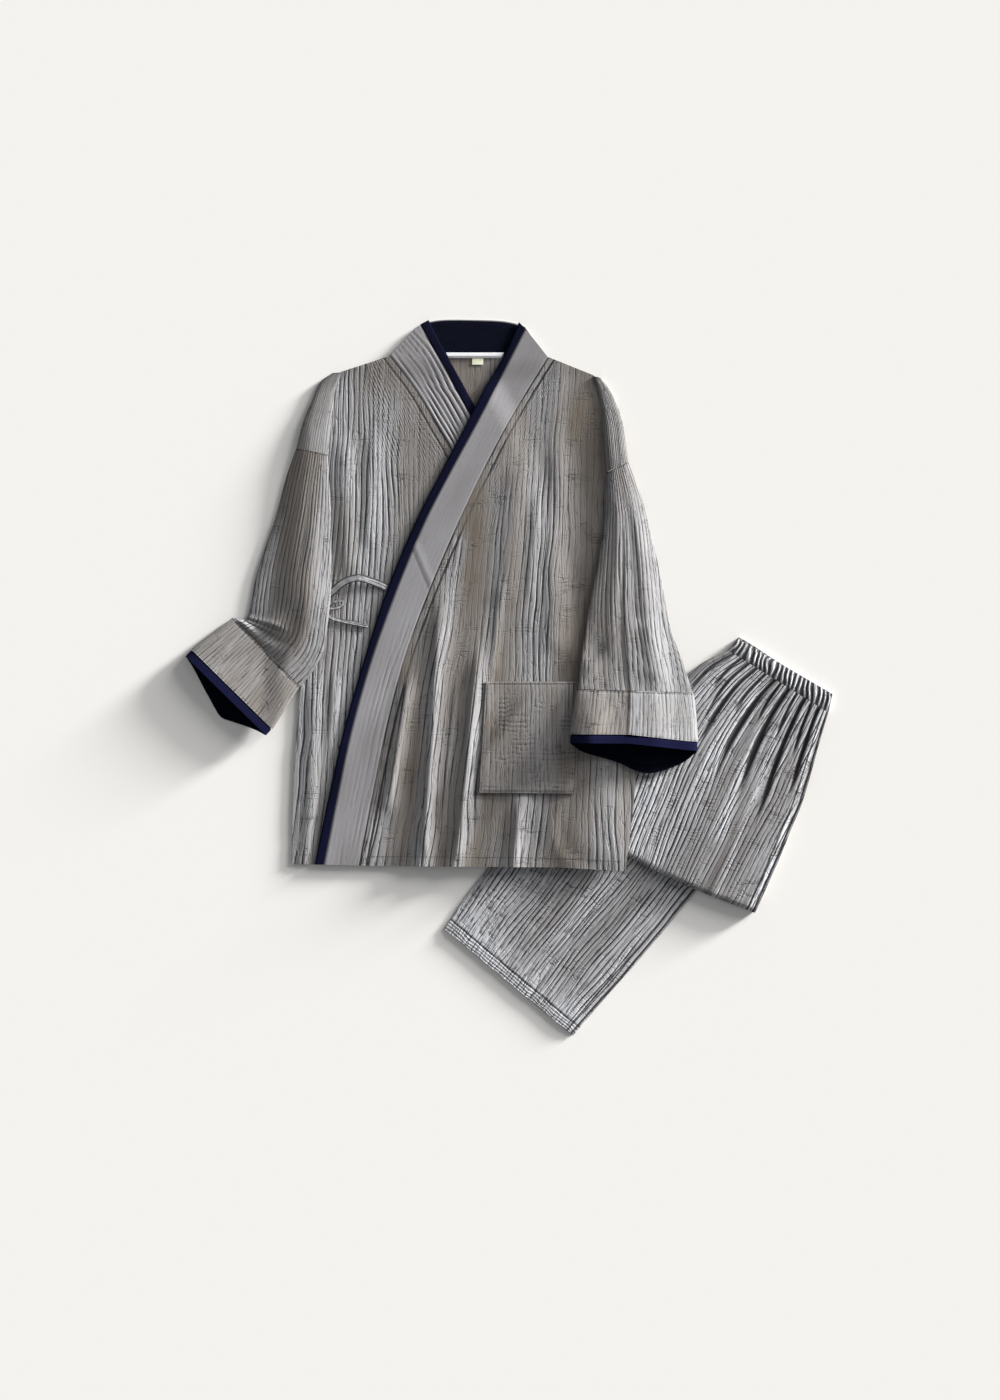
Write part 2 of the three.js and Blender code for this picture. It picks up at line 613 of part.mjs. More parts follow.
// The pocket's points are the front's own, moved out.
function addPocket() {
  addSheet("patch_pocket", GAUZE, 8, 8, (u, v, column, row) => {
    const left = [0, 1].map((k) => lerp(POCKET.top[0][k], POCKET.bottom[0][k], v));
    const right = [0, 1].map((k) => lerp(POCKET.top[1][k], POCKET.bottom[1][k], v));
    const [x, y] = [lerp(left[0], right[0], u), lerp(left[1], right[1], u)];
    const z = overBottom(x, y) + CLOTH + layerGap(x, y) + LAYER;
    return [[x, y, z + CLOTH + 0.6 * crinkle(column, row)], [x, y, z]];
  });
}

// A flat tape along points of a path: width runs level, thickness square to the path.
function addTape(name, points, width, thickness, segments) {
  const path = new THREE.CatmullRomCurve3(points.map((p) => new THREE.Vector3(...p)));
  addSheet(name, GAUZE, 2, segments, (u, v) => {
    const centre = path.getPoint(v);
    const tangent = path.getTangent(v);
    const flat = Math.hypot(tangent.x, tangent.y);
    const across = new THREE.Vector3(-tangent.y / flat, tangent.x / flat, 0);
    across.multiplyScalar((u - 0.5) * width);
    const out = new THREE.Vector3(-tangent.x * tangent.z, -tangent.y * tangent.z, flat * flat);
    out.normalize().multiplyScalar(thickness / 2);
    const middle = centre.add(across);
    return [middle.clone().add(out).toArray(), middle.clone().sub(out).toArray()];
  });
}

function addTies() {
  const rest = underBottom(-160, 380) + CLOTH + CRINKLE + LAYER + TAPE / 2;
  addTape("tie_band", [
    [-212, 391, rest + 1], [-203, 398, rest + 2], [-186, 412, rest + 4], [-168, 418, rest + 5],
    [-157, 417, rest + 4], [-142, 412, rest + 1], [-124, 404, rest - 0.7],
  ], TIE_WIDTH, TAPE, 12);
  addTape("tie_end", [
    [-213, 368, rest + 0.5], [-204, 360, rest + 0.3], [-190, 356, rest], [-170, 352, rest], [-151, 348, rest],
  ], TIE_WIDTH, TAPE, 8);
  addTape("tie_loop", [
    [-216, 377, rest + 1.2], [-206, 378, rest + 2.4], [-196, 381, rest + 3], [-187, 381, rest + 2.2],
  ], TIE_WIDTH, TAPE, 6);
  const knot = new THREE.SphereGeometry(KNOT.radius, 12, 8);
  knot.scale(1, 0.9, KNOT.thickness / 2 / KNOT.radius);
  knot.translate(KNOT.at[0], KNOT.at[1], rest - TAPE / 2 + KNOT.thickness / 2);
  const mesh = new THREE.Mesh(knot, new THREE.MeshStandardMaterial(GAUZE));
  mesh.name = "tie_knot";
  garment.add(mesh);
}

// ---- trousers ----

const edgeDrop = (u, deep) => deep * (1 - smoothstep(Math.min(u, 1 - u), 0, 0.06));

function between(table, u, v) {
  const left = pathOf(table, "left").getPoint(v);
  const right = pathOf(table, "right").getPoint(v);
  return left.lerp(right, u);
}

const upperFoldsAt = (u, v) => GATHER_FOLDS.reduce((sum, { waist, end, reach, depth }) => {
  const place = lerp(waist, end, clamp(v / reach, 0, 1));
  const aside = (u - place) / GATHER_FOLD_WIDTH;
  return sum + depth * (1 - smoothstep(v, reach * 0.4, reach)) * Math.exp(-(aside ** 2));
}, 0);

function upperTop(u, v) {
  const puff = FOLD_PUFF * smoothstep(u, 0.3, 0.6) * smoothstep(v, 0.35, 0.9);
  return UPPER_LEG + puff - edgeDrop(u, 2.5);
}

// The upper stretch rests on the lower one where that runs under it.
const onLowerLeg = (x, y) => (LOWER_LEG + LAYER) * drape(outside(lowerOutline, x, y), 60);

// A point moved out over the fold by a distance.
const overFold = (x, y, out, z) => [x + FOLD_AWAY[0] * out, y + FOLD_AWAY[1] * out, z];

function addTrousers() {
  const lowerTop = (u) => LOWER_LEG - edgeDrop(u, 1.6);
  addSheet("trouser_lower", TROUSER_GAUZE, 20, 9, (u, v, column, row) => {
    const { x, y } = between(LOWER_LEG_ROWS, u, v);
    const covered = Math.min(outside(upperOutline, x, y), y < -12 || x > 232 ? 999 : 0);
    const top = lowerTop(u) + smoothstep(covered, 16, 30) * crinkle(column, row);
    return [[x, y, top], [x, y, lowerTop(u) - CLOTH]];
  });
  addSheet("trouser_lower_layers", TROUSER_GAUZE, 8, 6, (u, v) => {
    const { x, y } = between(LOWER_LEG_ROWS, lerp(0.004, 0.996, u), lerp(0.006, 1, v));
    return [[x, y, lowerTop(u) - CLOTH - LAYER], [x, y, 0]];
  }, [{ level: 0.35, inset: -0.6 }, { level: 0.5, inset: 0.8 }, { level: 0.65, inset: -0.6 }]);

  const flatRows = 9;
  const rollRows = 4;
  addSheet("trouser_upper", TROUSER_GAUZE, 22, flatRows + rollRows, (u, _, column, row) => {
    const v = Math.min(row / flatRows, 1);
    const bow = FOLD_BOW * Math.sin(Math.PI * u) * smoothstep(v, 0.6, 1);
    const { x, y } = between(UPPER_LEG_ROWS, u, v);
    const base = onLowerLeg(x, y);
    const top = upperTop(u, v) - upperFoldsAt(u, v);
    const raised = (row < flatRows ? 1 : 0) * crinkle(column, row);
    if (row <= flatRows) {
      return [overFold(x, y, bow, top + raised), overFold(x, y, bow, top - CLOTH)];
    }
    const angle = (Math.PI * (row - flatRows)) / rollRows;
    const middle = (top + base) / 2;
    const turn = (radius, rise) =>
      overFold(x, y, bow + radius * Math.sin(angle), middle + rise * Math.cos(angle));
    const half = (top - base) / 2;
    return [turn(FOLD_DEPTH, half), turn(FOLD_DEPTH - CLOTH, half - Math.min(CLOTH, half * 0.6))];
  });
  addSheet("trouser_inner_folds", TROUSER_GAUZE, 12, 8, (u, v) => {
    const place = lerp(0.006, 0.994, u);
    const depth = lerp(0.004, 0.965, v);
    const { x, y } = between(UPPER_LEG_ROWS, place, depth);
    const bow = FOLD_BOW * Math.sin(Math.PI * place) * smoothstep(depth, 0.6, 1);
    const room = GATHER_DEPTH * (1 - smoothstep(depth, 0.4, 0.75));
    const top = upperTop(place, depth) - CLOTH - LAYER - room;
    return [overFold(x, y, bow, top), overFold(x, y, bow, onLowerLeg(x, y))];
  }, [
    { level: 0.25, inset: -0.8 }, { level: 0.38, inset: 1 },
    { level: 0.5, inset: -0.8 }, { level: 0.62, inset: 1 }, { level: 0.75, inset: -0.8 },
  ]);

  const { left, right, topLeft, topRight } = WAISTBAND;
  const bandPoint = (u, v, beyond) => [0, 1].map((k) => {
    const low = lerp(left[k], right[k], u);
    const high = lerp(topLeft[k], topRight[k], u);
    return lerp(low, high, v) + (high - low) * beyond;
  });
  addSheet("waistband_front", TROUSER_GAUZE, WAIST_GATHERS * 3, 2, (u, v, column, row) => {
    const [x, y] = bandPoint(u, lerp(0.02, 1, v), 0);
    const gather = Math.sin((Math.PI * column) / 3) ** 2;
    const rounded = Math.sin(Math.PI * lerp(0.12, 0.88, row / 2));
    const crest = WAIST_GATHER * rounded * (0.45 + 0.55 * gather);
    return [[x, y, WAIST_LEVEL + WAIST_FLAT + crest], [x, y, WAIST_LEVEL]];
  });
  addSheet("waistband_back", TROUSER_GAUZE, WAIST_GATHERS, 2, (u, v, column) => {
    const beyond = 0.14 * (1 - smoothstep(u, 0.05, 0.55)) * v;
    const [x, y] = bandPoint(u, lerp(0.03, 1, v), beyond);
    return [[x, y, WAIST_BACK + (column % 2 ? 0.5 : 0)], [x, y, 0]];
  });
}

addBody();
addCollar();
addSleeves();
addPocket();
addTies();
addTrousers();

// Centred on the surface it lies on.
const box = new THREE.Box3().setFromObject(garment);
garment.position.set(-(box.min.x + box.max.x) / 2, -(box.min.y + box.max.y) / 2, -box.min.z);
garment.updateMatrixWorld(true);

export default garment;
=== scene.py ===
# %% [markdown]
# # A wrap jacket and trousers, laid flat
# This lesson dresses a plain, rigid model of a kimono pajama set. The model comes from another tool and
# is loaded as a fixed frame: it says where each piece lies and how big it is. Here each plain piece gets
# a fine shell of crinkled cloth, a finish made from nodes, and its sewing. Nothing is moved or resized.

# %% Load the frame
import math

import bpy
import numpy as np
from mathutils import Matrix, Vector


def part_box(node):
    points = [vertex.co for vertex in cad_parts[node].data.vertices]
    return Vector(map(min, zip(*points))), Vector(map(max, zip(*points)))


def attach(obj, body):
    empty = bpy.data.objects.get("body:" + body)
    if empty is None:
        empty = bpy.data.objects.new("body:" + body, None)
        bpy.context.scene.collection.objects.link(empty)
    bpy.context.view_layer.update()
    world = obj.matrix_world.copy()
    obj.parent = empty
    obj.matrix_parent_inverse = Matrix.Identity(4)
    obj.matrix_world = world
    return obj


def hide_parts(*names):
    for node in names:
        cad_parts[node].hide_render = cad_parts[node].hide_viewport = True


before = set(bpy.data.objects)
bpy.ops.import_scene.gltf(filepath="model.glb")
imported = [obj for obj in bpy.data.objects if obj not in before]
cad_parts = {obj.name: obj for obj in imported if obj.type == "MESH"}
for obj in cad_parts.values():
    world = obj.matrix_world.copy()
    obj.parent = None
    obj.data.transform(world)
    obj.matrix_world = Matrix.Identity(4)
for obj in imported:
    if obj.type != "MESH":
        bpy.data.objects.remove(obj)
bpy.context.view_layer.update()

# %% [markdown]
# ## Where things are
# A tailor measures from the centre line and the hem, so this file does too, in millimetres: X from the
# jacket's centre line, Y up from its hem, Z up from the table. Blender works in metres with the origin
# in the middle of the whole set. One piece that sits at a known place tells us the shift between the two:
# the neck label starts on the centre line, 736.6 mm above the hem.

# %% Tailor's millimetres to Blender's metres
MM = 0.001
LABEL_TOP = 736.6
label_low, label_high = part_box("neck_label")
ORIGIN = np.array([label_low[0], label_high[1] - LABEL_TOP * MM, 0.0])


def metres(points):
    """Points in the tailor's millimetres, as Blender's metres."""
    return np.asarray(points, dtype=float) * MM + ORIGIN


print("hem centre lies at", ORIGIN.round(4))

# %% [markdown]
# ## Camera
# The set is seen from straight above. A long lens, far away, keeps the sides of the set from leaning.
# The camera's frame is a little taller than it is wide, and the set fills the middle of it.

# %% Camera
FRAME_HEIGHT = 2.030  # metres of table from the frame's lower side to its upper side
FRAME_CENTRE = (-0.0145, -0.0326)
CAMERA_HEIGHT = 9.0
FAR_END = 60.0  # how far the camera sees

camera = bpy.data.objects.new("camera", bpy.data.cameras.new("camera"))
bpy.context.scene.collection.objects.link(camera)
camera.location = (*FRAME_CENTRE, CAMERA_HEIGHT)
camera.data.sensor_fit = "AUTO"
camera.data.sensor_width = 36.0
camera.data.lens = camera.data.sensor_width * CAMERA_HEIGHT / FRAME_HEIGHT
camera.data.clip_end = FAR_END
bpy.context.scene.camera = camera
print("lens", round(camera.data.lens, 1), "mm")

# %% [markdown]
# ## Maths on sheets of points
# A cloth panel is a grid of points. NumPy works on the whole grid at once, so each small function below
# takes arrays. `smoothstep` eases from 0 to 1, and `from_table` reads a smooth value between the rows of
# a table, which is how a pattern maker's few measured heights become a full outline.

# %% Small functions on arrays


def smoothstep(value, low, high):
    """Eases from 0 at `low` to 1 at `high`; where `low` is the larger, it eases down."""
    share = np.clip((value - low) / (high - low), 0, 1)
    return share * share * (3 - 2 * share)


def lerp(a, b, share):
    """The value that lies `share` of the way from a to b."""
    return a + (b - a) * share


def bell(value, middle, width):
    """A soft bump: 1 at `middle`, and about a third of that a `width` away."""
    return np.exp(-(((value - middle) / width) ** 2))


def from_table(rows, name, at):
    """A smooth value of one named column at heights `at`; the first column holds the rows' heights."""
    height = rows["y"]
    values = rows[name]
    i = np.clip(np.searchsorted(height, at, side="right") - 1, 0, len(height) - 2)
    before, after = np.maximum(i - 1, 0), np.minimum(i + 2, len(height) - 1)
    span = height[i + 1] - height[i]
    s = (at - height[i]) / span
    slope_a = (values[i + 1] - values[before]) / (height[i + 1] - height[before]) * span
    slope_b = (values[after] - values[i]) / (height[after] - height[i]) * span
    return (
        (2 * s**3 - 3 * s**2 + 1) * values[i]
        + (s**3 - 2 * s**2 + s) * slope_a
        + (3 * s**2 - 2 * s**3) * values[i + 1]
        + (s**3 - s**2) * slope_b
    )


def curve_through(points, share):
    """A smooth curve through points, at shares from 0 to 1 of the way along its list."""
    points = np.asarray(points, dtype=float)
    place = np.asarray(share) * (len(points) - 1)
    i = np.clip(np.floor(place).astype(int), 0, len(points) - 2)
    s = (place - i)[..., None]
    before, after = points[np.maximum(i - 1, 0)], points[np.minimum(i + 2, len(points) - 1)]
    a, b = points[i], points[i + 1]
    slope_a, slope_b = (b - before) / 2, (after - a) / 2
    return (
        (2 * a - 2 * b + slope_a + slope_b) * s**3
        + (-3 * a + 3 * b - 2 * slope_a - slope_b) * s**2
        + slope_a * s
        + a
    )


def to_segment(x, y, a, b):
    """Distance of points from a straight line piece, and how far along it they are."""
    dx, dy = b[0] - a[0], b[1] - a[1]
    along = np.clip(((x - a[0]) * dx + (y - a[1]) * dy) / (dx * dx + dy * dy), 0, 1)
    return np.hypot(x - a[0] - along * dx, y - a[1] - along * dy), along


def outside(outline, x, y):
    """Distance outside a closed outline, and 0 within it."""
    nearest = np.full(np.shape(x), np.inf)
    within = np.zeros(np.shape(x), dtype=bool)
    for a, b in zip(outline, outline[1:] + outline[:1]):
        nearest = np.minimum(nearest, to_segment(x, y, a, b)[0])
        if a[1] != b[1]:
            crosses = (a[1] > y) != (b[1] > y)
            within ^= crosses & (x < a[0] + (y - a[1]) / (b[1] - a[1]) * (b[0] - a[0]))
    return np.where(within, 0, nearest)


# %% [markdown]
# ## Crinkle
# Double gauze is two thin cloths caught together. After washing, it draws up into fine wandering ridges
# that run the length of the cloth, never quite parallel. A ready-made noise would look like bark or
# cloud, so the ridges are waves whose phase drifts: a smooth random field bends each ridge, another
# makes some fade while others grow. Every random field has a seed, so each run gives the same cloth.

# %% Smooth random fields and the crinkle
LATTICE = 64  # cells before a random field repeats
RIDGE_PITCH = 7.0  # millimetres between the main ridges


def drift(a, b, seed):
    """A smooth random field between -1 and 1, one cell a unit wide."""
    lattice = np.random.default_rng(seed).uniform(-1, 1, (LATTICE, LATTICE))
    ia, ib = np.floor(a).astype(int), np.floor(b).astype(int)
    sa, sb = smoothstep(a - ia, 0, 1), smoothstep(b - ib, 0, 1)

    def at(i, j):
        return lattice[i % LATTICE, j % LATTICE]

    low = lerp(at(ia, ib), at(ia + 1, ib), sa)
    high = lerp(at(ia, ib + 1), at(ia + 1, ib + 1), sa)
    return lerp(low, high, sb)


def pleats(place):
    """Broad ridges with narrow valleys between them, one to each whole number; its mean is about 0."""
    crest = np.abs(np.sin(math.pi * place))
    return 0.15 + 0.25 * crest - 1.45 * np.exp(-((crest / 0.32) ** 2))


def bent(across, along, seed):
    """Place across the cloth, bent so that lines of equal place wander as ridges do."""
    wide, close = drift(across / 44, along / 120, seed), drift(across / 15, along / 48, seed + 1)
    return across + 3.4 * wide + 1.7 * close + 1.1 * drift(across / 7, along / 60, seed + 2)


def crinkle(across, along, seed):
    """Height of the crinkle, from -1.25 to 1, for cloth coordinates in millimetres."""
    place = bent(across, along, seed) / RIDGE_PITCH
    strong = np.clip(0.72 + 0.9 * drift(across / 8, along / 60, seed + 4), 0.05, 1.1)
    lively = np.clip(0.35 + 0.9 * drift(across / 8, along / 36, seed + 5), 0, 1)
    fine = pleats(1.63 * place + 0.8 * drift(across / 14, along / 50, seed + 3))
    return np.clip(strong * pleats(place) + 0.6 * lively * fine, -1.25, 1)


def cloth_map(across, along, seed):
    """The cloth's own coordinates, which its finish is drawn on."""
    return np.stack([bent(across, along, seed), along], axis=-1)


sample = crinkle(np.linspace(0, 100, 500), np.zeros(500), 1)
print("crinkle runs from", round(float(sample.min()), 2), "to", round(float(sample.max()), 2))

# %% [markdown]
# ## Turning grids into cloth
# A shell is two grids of points, the face and the back of the cloth, joined round their border. Writing
# arrays straight into the mesh is fast, and every piece comes out closed. Each mesh also carries what
# its finish needs: a `ridge` value, how high the crinkle stands there, which the finish also turns into
# painted shade where it is low, a `tone`, how pale the cloth is, partly painted light, and a UV map in
# centimetres, so that the weave follows the cloth and not the room.


def lengths(grid, axis):
    """Lengths of a grid's lines of points, along its rows or its columns."""
    return np.linalg.norm(np.diff(grid, axis=axis), axis=-1).sum(axis=axis)


def every_fourth(count):
    """Every fourth index, and the last one."""
    return np.unique(np.append(np.arange(0, count, 4), count - 1))


def measure_flat(grid, wrapped=False):
    """The rectangle a sheet is cut from, and its area, read off every fourth point of its grid."""
    coarse = grid[np.ix_(every_fourth(grid.shape[0]), every_fourth(grid.shape[1]))] * MM
    if wrapped:
        coarse = np.concatenate([coarse, coarse[:, :1]], axis=1)
    far = coarse.shape[1] // 2 if wrapped else -1
    chord = coarse[:, far] - coarse[:, 0]
    down = np.gradient(coarse.mean(axis=1), axis=0)
    sine = np.linalg.norm(np.cross(chord, down), axis=1)
    sine /= np.linalg.norm(chord, axis=1) * np.linalg.norm(down, axis=1)
    a, b, c, d = coarse[:-1, :-1], coarse[1:, :-1], coarse[1:, 1:], coarse[:-1, 1:]
    area = np.linalg.norm(np.cross(c - a, d - b), axis=-1).sum() / 2
    width, length = (lengths(coarse, 1) * sine).max(), lengths(coarse, 0).max()
    return float(width), float(length), float(min(area, width * length))


# %% [markdown]
# Three makers build every piece. `shell` closes a sheet, `tube` closes a sleeve or a cuff, and both hand
# their points and faces to `new_mesh`. The faces are turned the right way out by the sign of the volume.

# %% Mesh makers
made = {}
SHARP = math.radians(60)  # edges that bend by more than this stay crisp
CLOTH_UNIT = 10  # millimetres of cloth in one unit of its UV map
UNLINED = (0.0, 0.4)  # ridge and tone of cloth that has no looks of its own


def new_mesh(name, points, quads, looks, cloth):
    """A mesh from arrays; `looks` has a ridge and a tone for each point, `cloth` its place in the cloth."""
    mesh = bpy.data.meshes.new(name)
    mesh.vertices.add(len(points))
    mesh.vertices.foreach_set("co", metres(points).ravel())
    mesh.loops.add(quads.size)
    mesh.loops.foreach_set("vertex_index", np.ascontiguousarray(quads).ravel())
    mesh.polygons.add(len(quads))
    mesh.polygons.foreach_set("loop_start", np.arange(0, quads.size, 4))
    mesh.polygons.foreach_set("use_smooth", np.ones(len(quads), dtype=bool))
    mesh.update(calc_edges=True)
    for k, label in enumerate(("ridge", "tone")):
        values = np.ascontiguousarray(looks[:, k])
        mesh.attributes.new(label, "FLOAT", "POINT").data.foreach_set("value", values)
    uv_map = mesh.uv_layers.new(name="cloth")
    uv_map.data.foreach_set("uv", (cloth[quads.ravel()] / CLOTH_UNIT).ravel())
    mesh.set_sharp_from_angle(angle=SHARP)
    piece = bpy.data.objects.new(f"{name}_cloth", mesh)
    bpy.context.scene.collection.objects.link(piece)
    made[name] = piece
    return piece


def grid_quads(rows, columns, start=0, wrap=False):
    """Faces of a grid of points, row by row; `wrap` joins the last column to the first."""
    index = start + np.arange(rows * columns).reshape(rows, columns)
    if wrap:
        index = np.concatenate([index, index[:, :1]], axis=1)
    return np.stack([index[:-1, :-1], index[1:, :-1], index[1:, 1:], index[:-1, 1:]], axis=-1).reshape(-1, 4)


def outward(points, quads):
    """Turns every face round if the closed form is inside out."""
    a, b, c, d = (points[quads[:, k]] for k in range(4))
    volume = np.einsum("ij,ij->i", a, np.cross(b, c)).sum() + np.einsum("ij,ij->i", a, np.cross(c, d)).sum()
    return quads if volume > 0 else quads[:, ::-1]


def shell(name, face, back, looks=None, cloth=None, rings=()):
    """A closed sheet of cloth from two grids; `rings` are (level, inset) layers round its side."""
    rows, columns = face.shape[:2]
    measure_flat(face)
    count = rows * columns
    if looks is None:
        looks = np.broadcast_to(UNLINED, (rows, columns, 2))
    if cloth is None:
        cloth = face[..., :2]
    looks, cloth = looks.reshape(-1, 2), cloth.reshape(-1, 2)
    face, back = face.reshape(-1, 3), back.reshape(-1, 3)
    index = np.arange(count).reshape(rows, columns)
    border = np.concatenate([index[0, :-1], index[:-1, -1], index[-1, :0:-1], index[:0:-1, 0]])
    middle = face[border, :2].mean(axis=0)
    levels = []
    for level, inset in rings:
        ring = lerp(face[border], back[border], level)
        inward = middle - ring[:, :2]
        ring[:, :2] += inward / np.linalg.norm(inward, axis=1)[:, None] * inset
        levels.append(ring)
    quads = [grid_quads(rows, columns), grid_quads(rows, columns, count)[:, ::-1]]
    starts = 2 * count + len(border) * np.arange(len(rings))
    loops = [border, *(start + np.arange(len(border)) for start in starts), border + count]
    for upper, lower in zip(loops, loops[1:]):
        quads.append(np.stack([upper, np.roll(upper, -1), np.roll(lower, -1), lower], axis=-1))
    points, quads = np.concatenate([face, back, *levels]), np.concatenate(quads)
    edge_tone = looks[border, 1]
    # Rings set in from the side get a lower ridge, so the finish paints them darker: painted shade in the
    # recesses of a stack's side.
    edge_looks = [np.stack([0 * edge_tone - 0.5 * inset, edge_tone], axis=-1) for _, inset in rings]
    all_looks = np.concatenate([looks, looks * [0, 1], *edge_looks])
    all_cloth = np.concatenate([cloth, cloth] + [cloth[border]] * len(rings))
    return new_mesh(name, points, outward(points, quads), all_looks, all_cloth)


def tube(name, outside_wall, inside_wall, looks, cloth, inner_tone=1.0):
    """A closed tube wall from two wrapped grids, one row of points per ring; a low `inner_tone` paints shade
    inside.
    """
    rows, around = outside_wall.shape[:2]
    measure_flat(outside_wall, True)
    count = rows * around
    points = np.concatenate([outside_wall.reshape(-1, 3), inside_wall.reshape(-1, 3)])
    quads = [grid_quads(rows, around, 0, True), grid_quads(rows, around, count, True)[:, ::-1]]
    for start, turn in ((0, 1), ((rows - 1) * around, -1)):
        ring = start + np.arange(around)
        strip = np.stack([ring, np.roll(ring, -1), np.roll(ring, -1) + count, ring + count], axis=-1)
        quads.append(strip[:, ::turn])
    looks, cloth = looks.reshape(-1, 2), cloth.reshape(-1, 2)
    all_looks = np.concatenate([looks, looks * [0, inner_tone]])
    quads = outward(points, np.concatenate(quads))
    return new_mesh(name, points, quads, all_looks, np.concatenate([cloth, cloth]))


# %% [markdown]
# ## Outline tables
# Each row gives a height above the hem and where the jacket's lines cross it: its two sides, and for each
# front the seam, the collar band and the navy edge. The soft folds are short lines with a height and a
# width. Millimetres from the centre line and the hem, as everywhere.

# %% Tables of the jacket
JACKET_LENGTH, NECK_HEIGHT = 740, 738


def table(names, rows):
    """Columns of numbers under their names."""
    return dict(zip(names.split(), np.array(rows, dtype=float).T))


LINES = table("y left right overSeam overBand overEdge underSeam underBand underEdge", [
    [0, -261, 222.5, -164.7, -216, -229, 123.4, 174.3, 186.5],
    [100, -259.5, 234.5, -145.4, -196.3, -208.5, 105.8, 156.3, 168],
    [200, -254, 238.5, -124.8, -175, -185.7, 85.8, 135.5, 147.5],
    [300, -244, 234, -99, -146.6, -156.8, 62, 111.7, 124.5],
    [400, -233, 223.5, -62.7, -110.7, -124, 34.4, 82.7, 95.5],
    [500, -225, 209.5, -19.7, -69.2, -82, 8, 56, 68],
    [580, -215, 196, 18.6, -28, -41, -17.6, 30.5, 43],
    [640, -208, 191, 50.3, 4.7, -9.3, -51, 4, 17.8],
    [690, -200, 182, 79.7, 30.8, 16.3, -81, -22, -8.4],
    [740, -182, 168, 111, 56.5, 45.6, -119.4, -49.6, -36],
    [790, -164, 154, 143, 82, 68, -158, -77, -62],
])
SHOULDER_LINE = [[-240, 694], [-190, 717], [-119, 740], [111, 738], [176, 712], [230, 688]]
HEM_LINE = [[-270, 4], [-142, 1], [126, -1], [230, -7]]

FOLD_NAMES = "x0 y0 x1 y1 height width"
OVER_FOLDS = table(FOLD_NAMES, [
    [-39, 440, -71, 0, 4.5, 15],
    [17, 345, -25, 0, 5, 17],
    [-86, 300, -122, 95, 3.5, 12],
    [72, 120, 59, 0, 4, 14],
    [70, 600, 48, 400, 2.5, 17],
    [130, 640, 118, 330, 3, 18],
])
UNDER_FOLDS = table(FOLD_NAMES, [
    [-186, 640, -180, 440, 3, 15],
    [-140, 640, -150, 480, 2.5, 12],
    [-226, 300, -238, 0, 3, 11],
    [-196, 300, -206, 90, 2.5, 10],
])

print(len(LINES["y"]), "heights of the jacket,", len(OVER_FOLDS["x0"]), "soft folds on its front")

# %% [markdown]
# The other outlines are lists of their two edges: the inner x and y, then the outer x and y, from the top
# down. A cuff's lower lip reaches past its end by a few millimetres, more in the middle than at its sides.

# %% Tables of the sleeves, the trousers and the pocket
LEFT_SLEEVE = [
    [195, 571, 226, 586], [193, 531, 244, 539], [191, 502, 254, 502], [183, 444, 268, 444],
    [171, 386, 280, 386], [163, 339, 291, 334], [157, 293, 306, 293], [153, 257, 319, 252],
]
RIGHT_SLEEVE = [
    [-209, 596, -255, 606], [-207, 557, -270, 563], [-205, 516, -284, 510], [-204, 471, -297, 471],
    [-204, 425, -312, 425], [-205, 386, -320, 386], [-210, 347, -325, 364], [-216, 312, -330, 358],
    [-230, 284, -338, 359], [-249, 261, -346, 361],
]
LEFT_SHOULDER = [
    [174.5, 711, 186, 708], [180.5, 690, 202, 687], [186.5, 660, 213, 660], [189.5, 631, 221, 631],
    [194, 571.4, 226.2, 586.3],
]
RIGHT_SHOULDER = [
    [-189, 716, -203, 715], [-198, 692, -221, 701], [-202, 665, -234, 671], [-205, 639, -245, 644],
    [-208.8, 596.4, -254.8, 606.4],
]
LEFT_CUFF = [[151, 256.3, 321, 251.3], [146, 223, 325, 217], [141, 192, 327, 181]]
RIGHT_CUFF = [[-249.5, 260.4, -346.6, 361], [-270, 228, -378, 338], [-289, 199, -407, 315]]
LEFT_LIP = [0, 11, 16, 20, 25, 33, 37, 34, 27, 17, 0]
RIGHT_LIP = [0, 5, 12, 20, 27, 24, 19, 14, 8.5, 3.5, 0]
LEFT_RISE, RIGHT_RISE = 4.5, 0.0  # how far the upper lip draws back at the crease
CUFF_HEIGHT = (9, 21)  # at the seam and at the end
NAVY_EDGE = 13  # how far the facing turns out past the cuff
CUFF_CREASE = 0.46  # where the straight sleeve's crease crosses its cuff

LOWER_LEG = [
    [-40, -90, 146, -245], [-5, -38, 187, -197], [23, -1, 241, -136], [62, 55, 290, -78],
    [102, 110, 325, -35], [145, 170, 366, 12],
]
UPPER_LEG = [
    [371, 313, 516, 223], [330, 293, 504, 183], [290, 255, 495, 150], [257, 216, 486, 118],
    [228, 168, 476, 87], [205, 118, 462, 54], [187, 78, 445, 12], [178, 54, 413, -60],
]
WAISTBAND = [[371, 313, 516, 223], [385, 330, 522, 250]]
POCKET = [[20, 268, 155, 268], [10, 107, 151, 106]]
print("waistband is", round(math.dist(WAISTBAND[0][:2], WAISTBAND[0][2:])), "mm wide")

# %% [markdown]
# ## What each layer lies on
# Cloth has no shape of its own: every layer takes the form of what is under it. So each layer's height
# is a function of place, built from the one below: the table, the trousers, the back, the fronts, then
# the sleeves. The same functions shaped the rigid model, so the fine cloth here follows it closely.

# %% Heights of the layers
CLOTH, BAND, FACING = 2.0, 2.6, 1.6  # thickness of the gauze, the collar band and a navy facing
LAYER, SEAM, CRINKLE = 0.5, 0.3, 0.9  # air between layers, gap at a seam and height of the crinkle
LOWER_THICK, UPPER_THICK = 5.0, 12.0  # height of the trousers' lower and upper stretch
DRAPE_SHELF, DRAPE_REACH = 20.0, 110.0  # how cloth comes off an edge: level at first, then a long slope
SLEEVE_REACH, KNOT_REACH = 40, 45  # the same for a sleeve, and how wide the knot lifts it
KNOT = (-226, 375)


def sides(rows):
    """Closed outline of a table of left and right edge points."""
    return [tuple(row[:2]) for row in rows] + [tuple(row[2:]) for row in rows][::-1]


